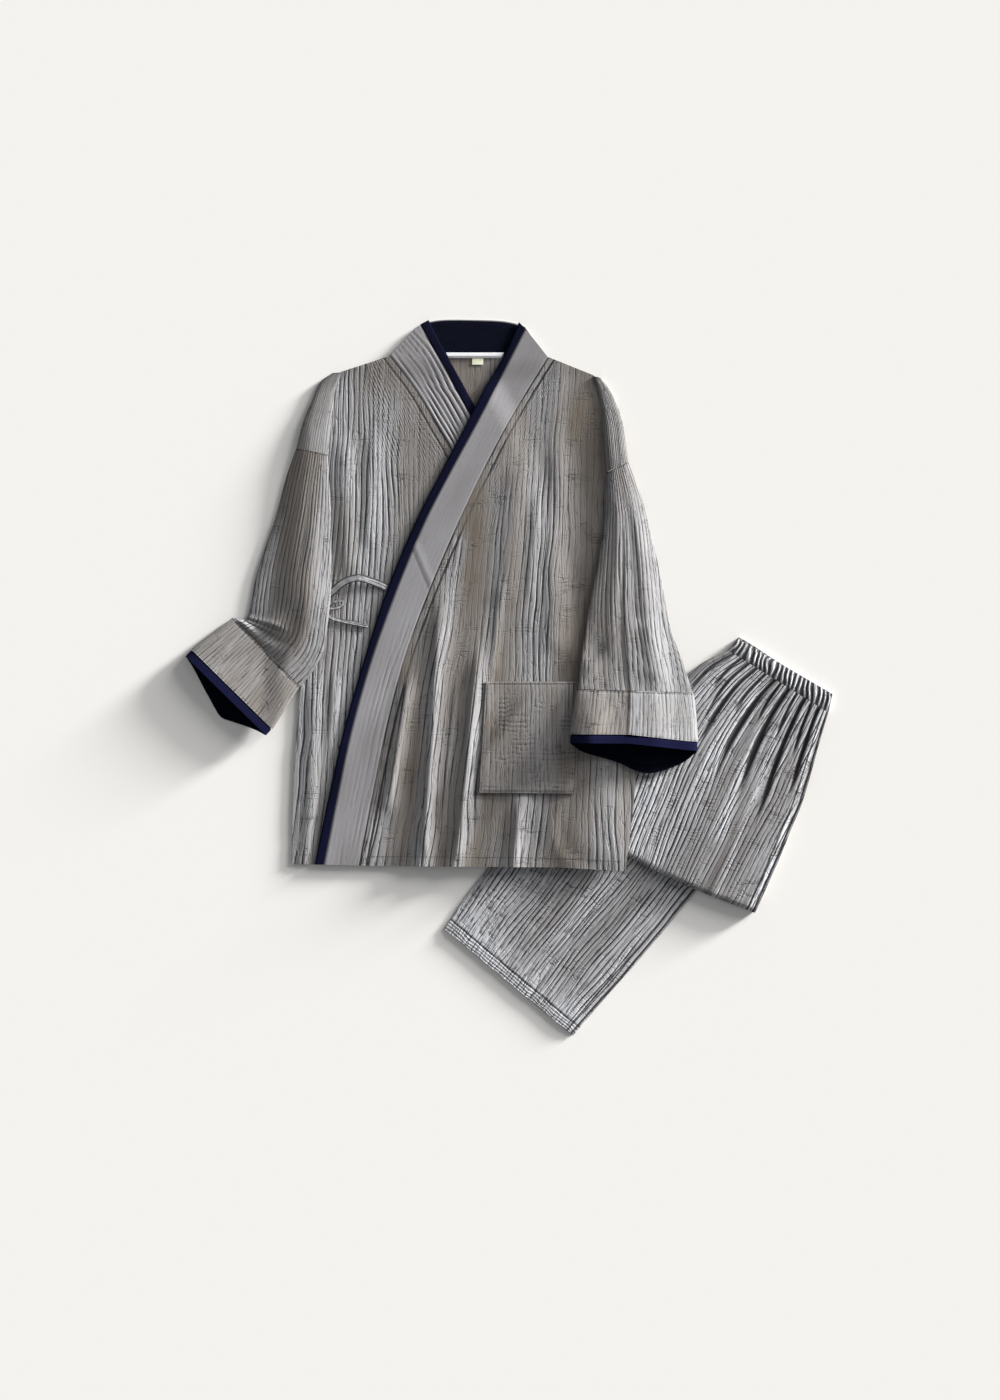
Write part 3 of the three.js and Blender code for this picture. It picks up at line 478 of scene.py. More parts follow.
LOWER_OUTLINE, UPPER_OUTLINE, POCKET_OUTLINE = sides(LOWER_LEG), sides(UPPER_LEG), sides(POCKET)


def drape(distance, reach):
    """1 on what is below and a little past it, 0 far from it."""
    return 1 - smoothstep(distance, DRAPE_SHELF, DRAPE_SHELF + reach)


def under_jacket(x, y):
    """Height of the trousers under the jacket."""
    lower = (LOWER_THICK + LAYER) * drape(outside(LOWER_OUTLINE, x, y), DRAPE_REACH)
    upper = (UPPER_THICK + CRINKLE + LAYER) * drape(outside(UPPER_OUTLINE, x, y), DRAPE_REACH)
    return (lower**4 + upper**4) ** 0.25


def layer_gap(x, y):
    """Air under a front: more where it comes down off the trousers."""
    share = np.clip(under_jacket(x, y) / UPPER_THICK, 0, 1)
    return LAYER + 1.2 * smoothstep(share, 0, 0.12) * (1 - smoothstep(share, 0.75, 1))


def folds_at(rows, x, y):
    """Height of a table's soft folds; each grows over the first quarter of its line."""
    total = np.zeros(np.shape(x))
    for x0, y0, x1, y1, height, width in zip(*rows.values()):
        distance, along = to_segment(x, y, (x0, y0), (x1, y1))
        total = total + height * smoothstep(along, 0, 0.25) * bell(distance, 0, width)
    return total


def neck_rise(y):
    """The fronts rise a little to lie on the back collar."""
    return 2 * smoothstep(y, 700, NECK_HEIGHT)


def under_bottom(x, y):
    """Underside of the front worn underneath."""
    edge = from_table(LINES, "overEdge", y)
    shown = 1 - smoothstep(x, edge - 24, edge)
    return under_jacket(x, y) + CLOTH + layer_gap(x, y) + neck_rise(y) + folds_at(UNDER_FOLDS, x, y) * shown


def over_bottom(x, y):
    """Underside of the front worn on top, which lies on the other one as far as that reaches."""
    edge = from_table(LINES, "underEdge", y)
    on_under = 1 - smoothstep(x, edge + 20, edge + 64)
    gap = layer_gap(x, y)
    stack = CLOTH + gap + on_under * (BAND + LAYER / 2 + gap)
    return under_jacket(x, y) + stack + folds_at(OVER_FOLDS, x, y) + neck_rise(y)


def under_sleeve(x, y):
    """What a sleeve lies on: the body, the pocket and the ties' knot."""
    left, right = from_table(LINES, "left", y), from_table(LINES, "right", y)
    near = np.clip(x, left, right)
    front = np.where(near > 0, over_bottom(near, y), under_bottom(near, y))
    stack = front - under_jacket(near, y) + CLOTH + CRINKLE + layer_gap(near, y) + LAYER
    body = stack * drape(np.abs(x - near), SLEEVE_REACH) * (1 - smoothstep(y, 590, 700))
    pocket = (CLOTH + CRINKLE + LAYER) * drape(outside(POCKET_OUTLINE, x, y), SLEEVE_REACH)
    knot = 6 * bell(np.hypot(x - KNOT[0], y - KNOT[1]), 0, KNOT_REACH)
    return under_jacket(x, y) + body + pocket + knot


stands = float(over_bottom(np.array(150.0), np.array(20.0)))
print("front over the trousers stands", round(stands, 1), "mm up")

# %% [markdown]
# ## Body panels
# A panel runs between two of the jacket's lines. Its rows follow the shoulder at the top and the hem at
# the bottom. Both depend on x, and x on the row, so `crossing` goes round a few times until they agree.

# %% Panel grids
WALL = 1.0  # thickness of the fine cloth
ROUNDS = 6  # how often a crossing is corrected


def straight(points, at):
    """Straight runs through points, carried on past both ends."""
    xs, ys = np.array(points, dtype=float).T
    i = np.clip(np.searchsorted(xs, at, side="right") - 1, 0, len(xs) - 2)
    return lerp(ys[i], ys[i + 1], (at - xs[i]) / (xs[i + 1] - xs[i]))


def body_y(x, v):
    """Height of the row v: 0 at the shoulder, 1 at the hem."""
    return lerp(straight(SHOULDER_LINE, x), straight(HEM_LINE, x), v)


def crossing(name, v):
    """Where a named line meets the row v, as x."""
    x = from_table(LINES, name, lerp(NECK_HEIGHT, 0, v))
    for _ in range(ROUNDS):
        x = from_table(LINES, name, body_y(x, v))
    return x


def shares(columns, rows):
    """Shares across and down a grid, from 0 to 1."""
    return np.meshgrid(np.linspace(0, 1, columns + 1), np.linspace(0, 1, rows + 1))


def panel(left, right, columns, rows, inset):
    """Points of a panel between two lines, kept `inset` clear of each."""
    u, v = shares(columns, rows)
    x = lerp(crossing(left, v) + inset[0], crossing(right, v) - inset[1], u)
    return x, body_y(x, v)


def grids(x, y, z, wall=WALL):
    """Face and back of a sheet whose face has the height z."""
    return np.stack([x, y, z], axis=-1), np.stack([x, y, z - wall], axis=-1)


print("hem is", round(float(crossing("right", 1.0) - crossing("left", 1.0))), "mm wide")

# %% [markdown]
# ## Where the cloth is drawn up
# Two things make washed gauze look real: the ridges are strong where the cloth draws up and faint where
# it lies smooth, and the drawn-up parts look paler. One number per point, the tone, drives both. The
# tone is high along a few listed bands and wanders a little everywhere; its paleness is partly painted
# light and shade, pale where broad folds would catch the light and taupe where they would lie in shade.
# The lower front also has a few long crests, low and narrow, which stand on top of its soft folds and
# catch the light.

# %% Tone bands and crests
TONE_RISE, TONE_DRIFT = 0.55, 0.25


def along_bands(bands, x, y):
    """How near a point is to any of some curved bands: 1 on a band, 0 far from all."""
    near = np.zeros(np.shape(x))
    for half_width, *points in bands:
        distance = np.full(np.shape(x), np.inf)
        for a, b in zip(points, points[1:]):
            distance = np.minimum(distance, to_segment(x, y, a, b)[0])
        near = np.maximum(near, bell(distance, 0, half_width))
    return near


def tone_of(bands, x, y, seed, base):
    """How pale and drawn-up the cloth is, from 0 to 1; its paleness is partly painted light and shade."""
    wandering = TONE_DRIFT * drift(x / 34, y / 150, seed)
    return np.clip(base + TONE_RISE * along_bands(bands, x, y) + wandering, 0, 1)


OVER_CRESTS = table(FOLD_NAMES, [
    [-46, 400, -69, 30, 2.4, 6],
    [12, 330, -21, 20, 2.6, 6],
    [-92, 280, -118, 110, 1.8, 5],
    [68, 96, 61, 4, 1.8, 5],
    [44, 420, 30, 290, 1.5, 6],
    [-20, 290, -44, 60, 1.3, 5],
    [96, 560, 84, 400, 1.2, 7],
])
OVER_BANDS = [
    (12, (-20, 470), (-29, 406), (-43, 303), (-61, 212), (-70, 54), (-77, 0)),
    (13, (50, 540), (36, 406), (22, 303), (7, 212), (-7, 54), (-26, 0)),
    (25, (87, 473), (98, 303), (83, 212), (80, 54), (68, 0)),
    (30, (193, 140), (184, 0)),
    (42, (112, 690), (92, 500)),
    (16, (-104, 250), (-124, 100), (-150, 0)),
]
UNDER_BANDS = [
    (24, (-198, 690), (-190, 560)),
    (26, (-122, 660), (-130, 600), (-144, 444), (-178, 241), (-200, 23)),
    (24, (-240, 260), (-248, 20)),
]
print(len(OVER_BANDS) + len(UNDER_BANDS), "pale bands,", len(OVER_CRESTS["x0"]), "crests")

# %% [markdown]
# ## Faces of the panels
# A face is a height and two looks at every point. The height is that of the layer below, plus the cloth,
# plus its ridges. Beside the collar seam the cloth is pressed flat and a line of stitches draws it in.

# %% Faces of the back and the fronts
STITCH_LINE = 9.5  # from the collar seam to the stitches beside it
OVER_SLANT, UNDER_SLANT = 0.88, 0.78  # share of a step in x that is square to each front's seam
# Beside the shoulder the upper front lies smoother and is also painted in shade: its tone drops to the taupe.
SMOOTH_SHADE_PLACE, SMOOTH_SHADE_SIZE = (158, 645), (42, 95)  # where the upper front lies smooth
LOWEST_RIDGE = -1.3


def cloth_face(z, ridge, tone, height):
    """Face of the cloth over a bottom height z, with ridges `height` high, and its looks."""
    swell = ridge * lerp(0.15, 1.3, smoothstep(tone, 0.1, 0.75))
    face = z + WALL + SEAM + height * (1 + np.maximum(swell, LOWEST_RIDGE))
    return face, np.stack([swell, tone], axis=-1)


def over_grain(x, y):
    """Distance across the over front's grain, which fans out a little towards the hem."""
    return (x - 190) / (1 + 0.5 * (1 - y / JACKET_LENGTH))


def under_grain(x, y):
    """The same for the under front, whose grain fans out the other way."""
    return (x + 60) / (1 + 0.45 * (1 - y / JACKET_LENGTH))


def over_face(x, y):
    """Face of the front worn on top."""
    across = over_grain(x, y)
    seam = (x - from_table(LINES, "overSeam", y)) * OVER_SLANT
    hem = smoothstep(y, 6, 22)
    # Painted shade: the patch beside the shoulder gets a low tone, so the finish paints it dark taupe.
    from_shade_patch = [(at - place) / size for at, place, size in zip((x, y), SMOOTH_SHADE_PLACE, SMOOTH_SHADE_SIZE)]
    smooth_and_shaded = bell(np.hypot(*from_shade_patch), 0, 1)
    tone = tone_of(OVER_BANDS, x, y, 11, 0.24) * (1 - 0.95 * smooth_and_shaded)
    fade = lerp(0.3, 1, smoothstep(seam, 8, 13)) * lerp(0.75, 1, hem) * (1 - 0.6 * smooth_and_shaded)
    puckers = 0.35 * np.sin(y / 1.9 + 2 * drift(x / 20, y / 20, 13)) * bell(seam, 5, 4)
    # The stitch groove and the seam also get a low ridge, so the finish paints them dark: painted shade.
    drawn_in = crinkle(across, y, 12) * fade - 2.2 * bell(seam, STITCH_LINE, 1.2)
    ridge = drawn_in - 2.0 * bell(seam, 0, 1.5) + puckers
    under_pocket = 1 - smoothstep(outside(POCKET_OUTLINE, x, y), 0, 22)
    folds = 1.1 * drift(across / 21, y / 210, 14) * (1 - under_pocket) * smoothstep(x, 150, 130)
    crests = folds_at(OVER_CRESTS, x, y) * (1 - under_pocket)
    rise = (np.maximum(folds, -0.4) + crests) * smoothstep(seam, 4, 30)
    z, looks = cloth_face(over_bottom(x, y), ridge, tone, 0.42 - 0.05 * under_pocket)
    return z + rise, looks


def under_face(x, y):
    """Face of the front worn underneath."""
    across = under_grain(x, y)
    edge = from_table(LINES, "overEdge", y)
    shown = 1 - smoothstep(x, edge - 24, edge - 4)
    seam = (from_table(LINES, "underSeam", y) - x) * UNDER_SLANT
    fade = lerp(0.3, 1, smoothstep(seam, 8, 16))
    # The stitch groove and the seam also get a low ridge, so the finish paints them dark: painted shade.
    ridge = crinkle(across, y, 21) * fade - 1.8 * bell(seam, STITCH_LINE, 1.2) - 1.5 * bell(seam, 0, 1.5)
    tone = tone_of(UNDER_BANDS, x, y, 22, 0.4)
    return cloth_face(under_bottom(x, y), ridge, tone, lerp(0.3, 0.45, shown))


def back_face(x, y):
    """Face of the back, which shows only inside the neck."""
    tone = 0.3 + 0.2 * drift(x / 40, y / 120, 31)
    return cloth_face(under_jacket(x, y), crinkle(x, y, 32), tone, 0.3)


for name, edges, counts, inset, face_of, grain, seed in [
    ("jacket_back", ("left", "right"), (120, 70), (0, 0), back_face, lambda x, y: x, 32),
    ("jacket_front_under", ("left", "underSeam"), (310, 84), (0, SEAM / 2), under_face, under_grain, 21),
    ("jacket_front_over", ("overSeam", "right"), (370, 88), (SEAM / 2, 0), over_face, over_grain, 12),
]:
    x, y = panel(*edges, *counts, inset)
    z, looks = face_of(x, y)
    shell(name, *grids(x, y, z), looks, cloth_map(grain(x, y), y, seed))
print("body panels:", [len(made[name].data.polygons) for name in list(made)[:3]], "faces")

# %% [markdown]
# ## Collar
# The band is cloth folded double, so it is smooth on top and rounded at its outer side, where a narrow
# navy edge is sewn on. Near the neck the under band is drawn into long folds that run down its length.

# %% Front bands and their navy edges
BAND_ROWS = 230
NECK_SHARE = 0.12  # share of a band's rows that turn at the neck
BODY_ROWS = 16  # rows of the rigid body panels, which set where the turn ends
BAND_CREASE = ((-88, 466), (-58, 396))  # where the over band buckles a little


def band_grid(lines, necks, columns, rows):
    """Points of a band between two lines, from the neck's fold to the hem, and its width."""
    u, w = shares(columns, rows)
    below = np.clip((w - NECK_SHARE) / (1 - NECK_SHARE), 0, 1)
    v = lerp(1 / BODY_ROWS, 1, below)
    ends = []
    for line, neck in zip(lines, necks):
        x_row = crossing(line, v)
        y_row = body_y(x_row, v)
        turn = lerp(neck, y_row, np.clip(w / NECK_SHARE, 0, 1))
        turning = w < NECK_SHARE
        y_end = np.where(turning, turn, y_row)
        ends.append((np.where(turning, from_table(LINES, line, turn), x_row), y_end))
    (x0, y0), (x1, y1) = ends
    width = np.hypot(x1 - x0, y1 - y0)
    share = lerp(SEAM / 2 / width, 1 - SEAM / 2 / width, u)
    return lerp(x0, x1, share), lerp(y0, y1, share), u * width, width


def band(name, lines, necks, columns, bottom, ridges, height, outer_side):
    """A folded band; its rounded outer side is the first line (0) or the second (1)."""
    x, y, across, width = band_grid(lines, necks, columns, BAND_ROWS)
    from_outer = across if outer_side == 0 else width - across
    rounded = 0.9 * (1 - smoothstep(from_outer, 0, 2.4)) + 0.35 * (1 - smoothstep(width - from_outer, 0, 1.4))
    ridge = ridges(across, y)
    top = bottom(x, y) + BAND - height + height * ridge - rounded
    tone = np.clip(0.5 + 0.35 * drift(across / 30, y / 60, 41), 0, 1)
    # Painted shade: the band's colour is also darkened where it rounds down at its sides.
    looks = np.stack([ridge - rounded, tone], axis=-1)
    face, _ = grids(x, y, top)
    back, _ = grids(x, y, bottom(x, y))
    return shell(name, face, back, looks, np.stack([across, y], axis=-1))


def under_band_folds(across, y):
    """Long folds near the neck, and a low crinkle below."""
    drawn = smoothstep(y, 480, 520) * (1 - smoothstep(y - 1.6 * across, 620, 690))
    uneven = 1.3 + 0.8 * drift(across / 9, y / 90, 57)
    long_folds = pleats((across + 3.0 * drift(across / 30, y / 70, 51)) / 8.2) * uneven
    return lerp(0.5 * crinkle(across, y, 52), 1.4 * long_folds, drawn)


def over_band_folds(across, y):
    """Almost smooth, but for a buckle and a little crinkle near the hem."""
    low = (1 - smoothstep(y, 300, 385)) * smoothstep(across, 12, 30)
    (x0, y0), (x1, y1) = BAND_CREASE
    x = from_table(LINES, "overBand", y) + across
    aside = ((x - x0) * (y0 - y1) + (y - y0) * (x1 - x0)) / math.hypot(x1 - x0, y1 - y0)
    nearby = bell(to_segment(x, y, *BAND_CREASE)[0], 0, 11)
    buckle = (1.3 * bell(aside, 5, 5) - 0.9 * bell(aside, -1, 1.8)) * nearby
    return crinkle(across, y, 53) * lerp(0.08, 0.5, low) + buckle


def plain(across, y):
    """The slight waves of smooth cotton."""
    return 0.12 * drift(across / 9, y / 14, 54)


band("collar_band_under", ("underSeam", "underBand"), (740, 786), 32, under_bottom, under_band_folds, 0.75, 1)
band("collar_edge_under", ("underBand", "underEdge"), (786, 792), 8, under_bottom, plain, 0.3, 1)
band("collar_band_over", ("overBand", "overSeam"), (780, 738), 32, over_bottom, over_band_folds, 0.4, 0)
band("collar_edge_over", ("overEdge", "overBand"), (789, 780), 8, over_bottom, plain, 0.3, 0)
print("bands:", [name for name in made if "collar" in name])

# %% [markdown]
# Round the back of the neck the band stands folded: the gauze behind, the navy facing in front of it, and
# a white tape over the seam. A small plain label is sewn under the tape.

# %% Back collar, tape and label
NECK_UPPER = ((-76, 785), (77, 782))  # ends of the collar's upper edge
NECK_LOWER = ((-112, 741), (104, 741))  # ends of the seam at its foot
NECK_CROWN = 9  # how far the upper edge bows up
# The back collar's facing gets a low tone, so it is painted mostly in the navy's darker, shaded copy: painted
# shade.
FACING_INSET, FACING_SHADE_TONE = 1.5, 0.1
TAPE_UPPER, TAPE_LOWER = (-38, 46), (-34, 42)
TAPE_TOP, TAPE_WIDTH, TAPE_THICK = 745, 8, 0.5
LABEL_WIDTH, LABEL_LOW, LABEL_THICK = 16, 727.5, 0.45


def neck_grid(inset):
    """The back collar between the two neck folds: from its upper edge to the neck seam."""
    u, v = shares(90, 24)
    (left_x, left_y), (right_x, right_y) = (
        (lerp(upper[0], lower[0], v), lerp(upper[1], lower[1], v))
        for upper, lower in zip(NECK_UPPER, NECK_LOWER)
    )
    crown = (1 - v) * NECK_CROWN * (1 - (2 * u - 1) ** 4)
    x = lerp(left_x + inset, right_x - inset, u)
    return x, lerp(left_y, right_y, u) + crown - inset * (1 - v), v


x, y, v = neck_grid(0)
shell("collar_back", *grids(x, y, np.full(x.shape, FACING), FACING))
x, y, v = neck_grid(FACING_INSET)
top = 2 * FACING + SEAM + 0.25 * drift(x / 18, y / 9, 55) - 0.6 * (1 - smoothstep(v, 0, 0.08))
shell("collar_back_facing", *grids(x, y, top, FACING - 0.2), np.stack([0 * v, FACING_SHADE_TONE + 0 * v], axis=-1))

u, v = shares(48, 10)
x = lerp(lerp(TAPE_UPPER[0], TAPE_LOWER[0], v), lerp(TAPE_UPPER[1], TAPE_LOWER[1], v), u)
z = lerp(2 * FACING + SEAM + LAYER, CLOTH + LAYER, smoothstep(v, 0.6, 1)) + 0.45
z = z + 0.12 * np.sin(u * 150) * bell(v, 0.5, 0.3)
shell("neck_tape", *grids(x, TAPE_TOP - TAPE_WIDTH * v, z, TAPE_THICK))
u, v = shares(12, 8)
z = CLOTH + SEAM + LABEL_THICK + 0.15 * np.sin(3 * u)
shell("neck_label", *grids(LABEL_WIDTH * u, lerp(LABEL_TOP, LABEL_LOW, v), z, LABEL_THICK))
print("collar pieces:", [name for name in made if "collar" in name or "neck" in name])

# %% [markdown]
# ## Sleeves
# A sleeve is a flattened tube. Going round it, the upper side carries the ridges and the soft form; the
# lower side rests on what lies under it. `t` runs across the tube, from its inner to its outer fold, and
# `s` runs down it.

# %% Flattened tubes
ACROSS = 90  # steps across one side of a tube


def ring_shares(rows):
    """Shares across and along a tube, and which half of each ring is its upper side."""
    k = np.arange(2 * ACROSS)
    t = np.where(k <= ACROSS, k / ACROSS, (2 * ACROSS - k) / ACROSS)
    s = np.linspace(0, 1, rows + 1)
    return np.meshgrid(t, s) + [np.broadcast_to(k <= ACROSS, (rows + 1, 2 * ACROSS))]


def roundness(t):
    """How full a tube stands across it: 0 at both folds, 1 in the middle."""
    return np.sqrt(np.maximum(1 - np.abs(2 * t - 1) ** 3.5, 0))


def tube_wall(ends, t, upper, height, level, inset, bed):
    """One wall of a flattened tube, `inset` in from its outside; `level` is the share below its folds."""
    inner, outer = ends
    width = np.linalg.norm(outer - inner, axis=-1)
    xy = lerp(inner, outer, lerp(inset / width, 1 - inset / width, t)[..., None])
    rise = np.where(upper, height * (1 - level) - inset, -(height * level - inset))
    z = bed(xy[..., 0], xy[..., 1]) + height * level + roundness(t) * rise
    return xy, z


def sleeve(name, edges, rows, form_at, ridge_at, tone_at, seed, settled_at):
    """A sleeve from its table; its functions of s and t give soft form, crinkle, tone and settling."""
    t, s, upper = ring_shares(rows)
    edges = np.array(edges, dtype=float)
    ends = curve_through(edges[:, :2], s), curve_through(edges[:, 2:], s)
    along = s * np.linalg.norm(edges[-1, :2] - edges[0, :2])
    across = (t - 0.5) * lerp(np.linalg.norm(ends[1] - ends[0], axis=-1), *CLOTH_WIDTH)
    r = roundness(t)
    tone = np.clip(tone_at(s, t) + 0.2 * drift(across / 26, along / 110, seed + 7), 0, 1)
    ridge = crinkle(across, along, seed) * ridge_at(s, t) * lerp(0.7, 1.1, tone)
    form = form_at(s, t) * np.minimum(r * 1.6, 1) + r * (0.45 + 0.45 * ridge)
    settling = SETTLE * settled_at(s) * (1 - r) * (t < 0.5)
    walls = []
    for inset in (0, WALL):
        xy, z = tube_wall(ends, t, upper, SLEEVE_HEIGHT, 0.5, inset, under_sleeve)
        z = z + np.where(upper, form, 0)
        z = np.maximum(z - settling, np.minimum(z, FRONT_TOP))
        walls.append(np.concatenate([xy, z[..., None]], axis=-1))
    # Painted shade: a dark line at the armhole seam, and both folds of the tube darker where it rounds under.
    armhole_shade = 1.6 * bell(along, 0.8, 1.5)
    looks = np.stack([np.where(upper, ridge, 0) - 0.5 * (1 - r) - armhole_shade, tone], axis=-1)
    return tube(name, *walls, looks, cloth_map(across, along, seed))


print("a ring of a tube has", 2 * ACROSS, "points")

# %% [markdown]
# Each sleeve has its own small functions. The straight one carries a crease on to its cuff. The bent one
# bulges and bunches at the elbow, and a soft roll of it leans on the cuff. At the left armhole the inner
# fold comes down to lie on the front, so that no light shows under it from low down.

# %% Shoulders and sleeves
SLEEVE_HEIGHT = 7.0
CLOTH_WIDTH = (150, 0.45)  # the crinkle is drawn for a width 0.45 of the way from the sleeve's to 150
SETTLE, FRONT_TOP = 5.4, 4.5  # how far the inner fold comes down, and the height of the front it lies on


def flat(s, t):
    return 0 * t


def even(s, t):
    return np.ones(np.shape(t))


def faint(s, t):
    return 0.3 + 0 * t


def left_form(s, t):
    reach = smoothstep(s, 0.05, 0.4)
    crease = 1.6 * smoothstep(t, CUFF_CREASE - 0.02, CUFF_CREASE) * (1 - smoothstep(t, CUFF_CREASE, 0.66))
    return 2.0 * reach * (bell(t, 0.32, 0.1) + bell(t, 0.74, 0.1)) + crease * smoothstep(s, 0.2, 0.6)


def roll_at(s, t):
    """The soft roll of cloth that leans on the bent sleeve's cuff."""
    return bell(s, 0.92, 0.07) * smoothstep(t, 0.3, 0.6)


def right_form(s, t):
    elbow = 6 * bell(s, 0.72, 0.1) * bell(t, 0.66, 0.16)
    bunch = 1.5 * np.sin(s * 62 + 3 * t) * bell(s, 0.74, 0.07) * smoothstep(t, 0.4, 0.8)
    return elbow + bunch + 3.5 * roll_at(s, t) + 2.4 * bell(t, 0.3, 0.12) * smoothstep(s, 0.1, 0.4)


def right_ridges(s, t):
    return 1 - 0.8 * roll_at(s, t)


# Painted light: the straight sleeve is paler past its crease, on the side that faces the lamps, and by its
# inner fold near the armhole, where the settled fold would lie in shade.
def left_tone(s, t):
    inner = 0.22 * bell(t, 0.1, 0.2) * (1 - smoothstep(s, 0.25, 0.55))
    outer = smoothstep(t, CUFF_CREASE - 0.03, CUFF_CREASE + 0.06) * smoothstep(s, 0.02, 0.3)
    return 0.5 + inner + 0.25 * outer


# Painted light: the bent sleeve is paler by its inner fold, which faces the lamps, and on the roll, painted
# highlight, and towards its outer fold, where the lamps leave it in shade.
def right_tone(s, t):
    outer = 0.5 * bell(t, 0.92, 0.17) * smoothstep(s, 0.1, 0.5)
    return 0.3 + 0.5 * roll_at(s, t) + 0.45 * bell(t, 0.1, 0.16) + outer


def shoulder_tone(s, t):
    return 0.62 - 0.07 * t


def hanging(s):
    return 0 * s


def settled(s):
    return 1 + 0 * s


def settled_above(s):
    """Settled at the armhole, and free further down."""
    return 1 - smoothstep(s, 0.2, 0.5)


sleeve("left_shoulder", LEFT_SHOULDER, 28, flat, even, shoulder_tone, 61, settled)
sleeve("right_shoulder", RIGHT_SHOULDER, 28, flat, faint, shoulder_tone, 62, hanging)
sleeve("left_sleeve", LEFT_SLEEVE, 76, left_form, even, left_tone, 63, settled_above)
sleeve("right_sleeve", RIGHT_SLEEVE, 100, right_form, right_ridges, right_tone, 64, hanging)
print("sleeves:", [name for name in made if "sleeve" in name or "shoulder" in name])

# %% [markdown]
# ## Cuffs
# Cuffs flare open: the same form, with the height of the mouth growing to its end, and the lower lip
# reaching further out than the upper one. Inside each lies a navy facing, smaller by the thickness of the
# cloth, which turns out past the mouth.

# %% Form of a cuff


def cuff_axis(edges):
    """Length of a cuff from its seam to its end, and the direction it points in."""
    edges = np.array(edges, dtype=float)
    middles = (edges[:, :2] + edges[:, 2:]) / 2
    length = np.linalg.norm(middles[-1] - middles[0])
    return length, (middles[-1] - middles[0]) / length


def cuff_wall(edges, lip, rise, past, t, upper, inset, shrink):
    """Points of a cuff's wall at distances `past` its seam, `shrink` smaller all round."""
    length, forward = cuff_axis(edges)
    edges = np.array(edges, dtype=float)
    s = past / length
    inner = curve_through(edges[:, :2], np.minimum(s, 1))
    outer = curve_through(edges[:, 2:], np.minimum(s, 1))
    full = np.linalg.norm(outer - inner, axis=-1)
    margin = (1.6 * shrink / full)[..., None]
    ends = lerp(inner, outer, margin), lerp(outer, inner, margin)
    height = lerp(*CUFF_HEIGHT, s) - 2 * shrink
    xy, z = tube_wall(ends, t, upper, height, 0.4, inset, lambda x, y: under_sleeve(x, y) + shrink)
    across = np.linalg.norm(xy - inner, axis=-1) / full
    lips = table("y reach", [[k / (len(lip) - 1), value] for k, value in enumerate(lip)])
    reach = from_table(lips, "reach", np.clip(across, 0, 1)) * smoothstep(s, 0.35, 1)
    drawn_back = rise * np.clip(1 - np.abs(across - CUFF_CREASE) / CUFF_CREASE, 0, 1) * smoothstep(s, 0.3, 1)
    shift = np.maximum(past - length, 0) + np.where(upper, -drawn_back, reach)
    return xy + forward * shift[..., None], z


print("left cuff is", round(float(cuff_axis(LEFT_CUFF)[0])), "mm long")

# %% [markdown]
# A cuff is of the jacket's cloth, pressed smoother. Its navy facing lines the inside of its mouth.

# %% Cuffs and their navy facings
CUFF_ROWS = 26
CUFF_CLOTH = 220  # width that the crinkle of a cuff is drawn for
FACING_WALL = FACING - 0.4


def cuff(side, edges, lip, rise, form_at, tone_at, seed):
    """A cuff of the same cloth, pressed smoother, with a faint crosswise grain."""
    t, s, upper = ring_shares(CUFF_ROWS)
    length, _ = cuff_axis(edges)
    across = (t - 0.5) * CUFF_CLOTH
    past = lerp(SEAM, length, s)
    tone = np.clip(tone_at(s, t) + 0.2 * drift(across / 22, past / 30, seed + 5), 0, 1)
    crosswise = np.sin(2 * math.pi * (past + 2 * drift(across / 16, past / 12, seed + 8)) / 6.2)
    patchy = smoothstep(drift(across / 30, past / 22, seed + 9), -0.1, 0.6)
    ridge = 0.6 * crinkle(across, past, seed) + 0.12 * patchy * crosswise
    # The grooves by the seam and by the end are painted dark as well: painted shade.
    ridge = ridge - 0.8 * bell(past, 3.2, 1.1) - 0.5 * bell(length - past, 2.5, 1.2)
    form = roundness(t) * (0.1 + 0.5 * ridge + form_at(s, t))
    walls = []
    for inset in (0, WALL):
        xy, z = cuff_wall(edges, lip, rise, past, t, upper, inset, 0 * s)
        walls.append(np.concatenate([xy, (z + np.where(upper, form, 0))[..., None]], axis=-1))
    looks = np.stack([np.where(upper, ridge, 0), tone], axis=-1)
    tube(f"{side}_cuff", *walls, looks, cloth_map(across, past, seed))


def cuff_facing(side, edges, lip, rise):
    """The navy cloth inside a cuff, from half way up it to the edge past its mouth."""
    t, s, upper = ring_shares(CUFF_ROWS)
    length, _ = cuff_axis(edges)
    inside = CLOTH + 2.6 * LAYER
    stations = [0.5 * length, 0.75 * length, length + SEAM, length + 2, length + NAVY_EDGE]
    shrinks = [inside, inside, inside, 2 * SEAM, 2 * SEAM]
    place = s * (len(stations) - 1)
    past = np.interp(place, range(len(stations)), stations)
    shrink = np.interp(place, range(len(stations)), shrinks)
    walls = []
    for inset in (0, FACING_WALL):
        xy, z = cuff_wall(edges, lip, rise, past, t, upper, inset, shrink)
        walls.append(np.concatenate([xy, z[..., None]], axis=-1))
    # Painted shade: the facing's lower side and its whole inside wall get a lower tone, so the navy turns to
    # its darker, shaded copy in the mouth.
    looks = np.stack([0 * t, np.where(upper, 1.0, 0.75)], axis=-1)
    cloth = np.stack([(t - 0.5) * CUFF_CLOTH, past], axis=-1)
    tube(f"{side}_cuff_facing", *walls, looks, cloth, inner_tone=0.0)


def cuff_crease(s, t):
    """The sleeve's crease carried on over the cuff: a low fold, steep on its inner side."""
    return 1.3 * smoothstep(t, CUFF_CREASE - 0.02, CUFF_CREASE) * (1 - smoothstep(t, CUFF_CREASE, 0.62))


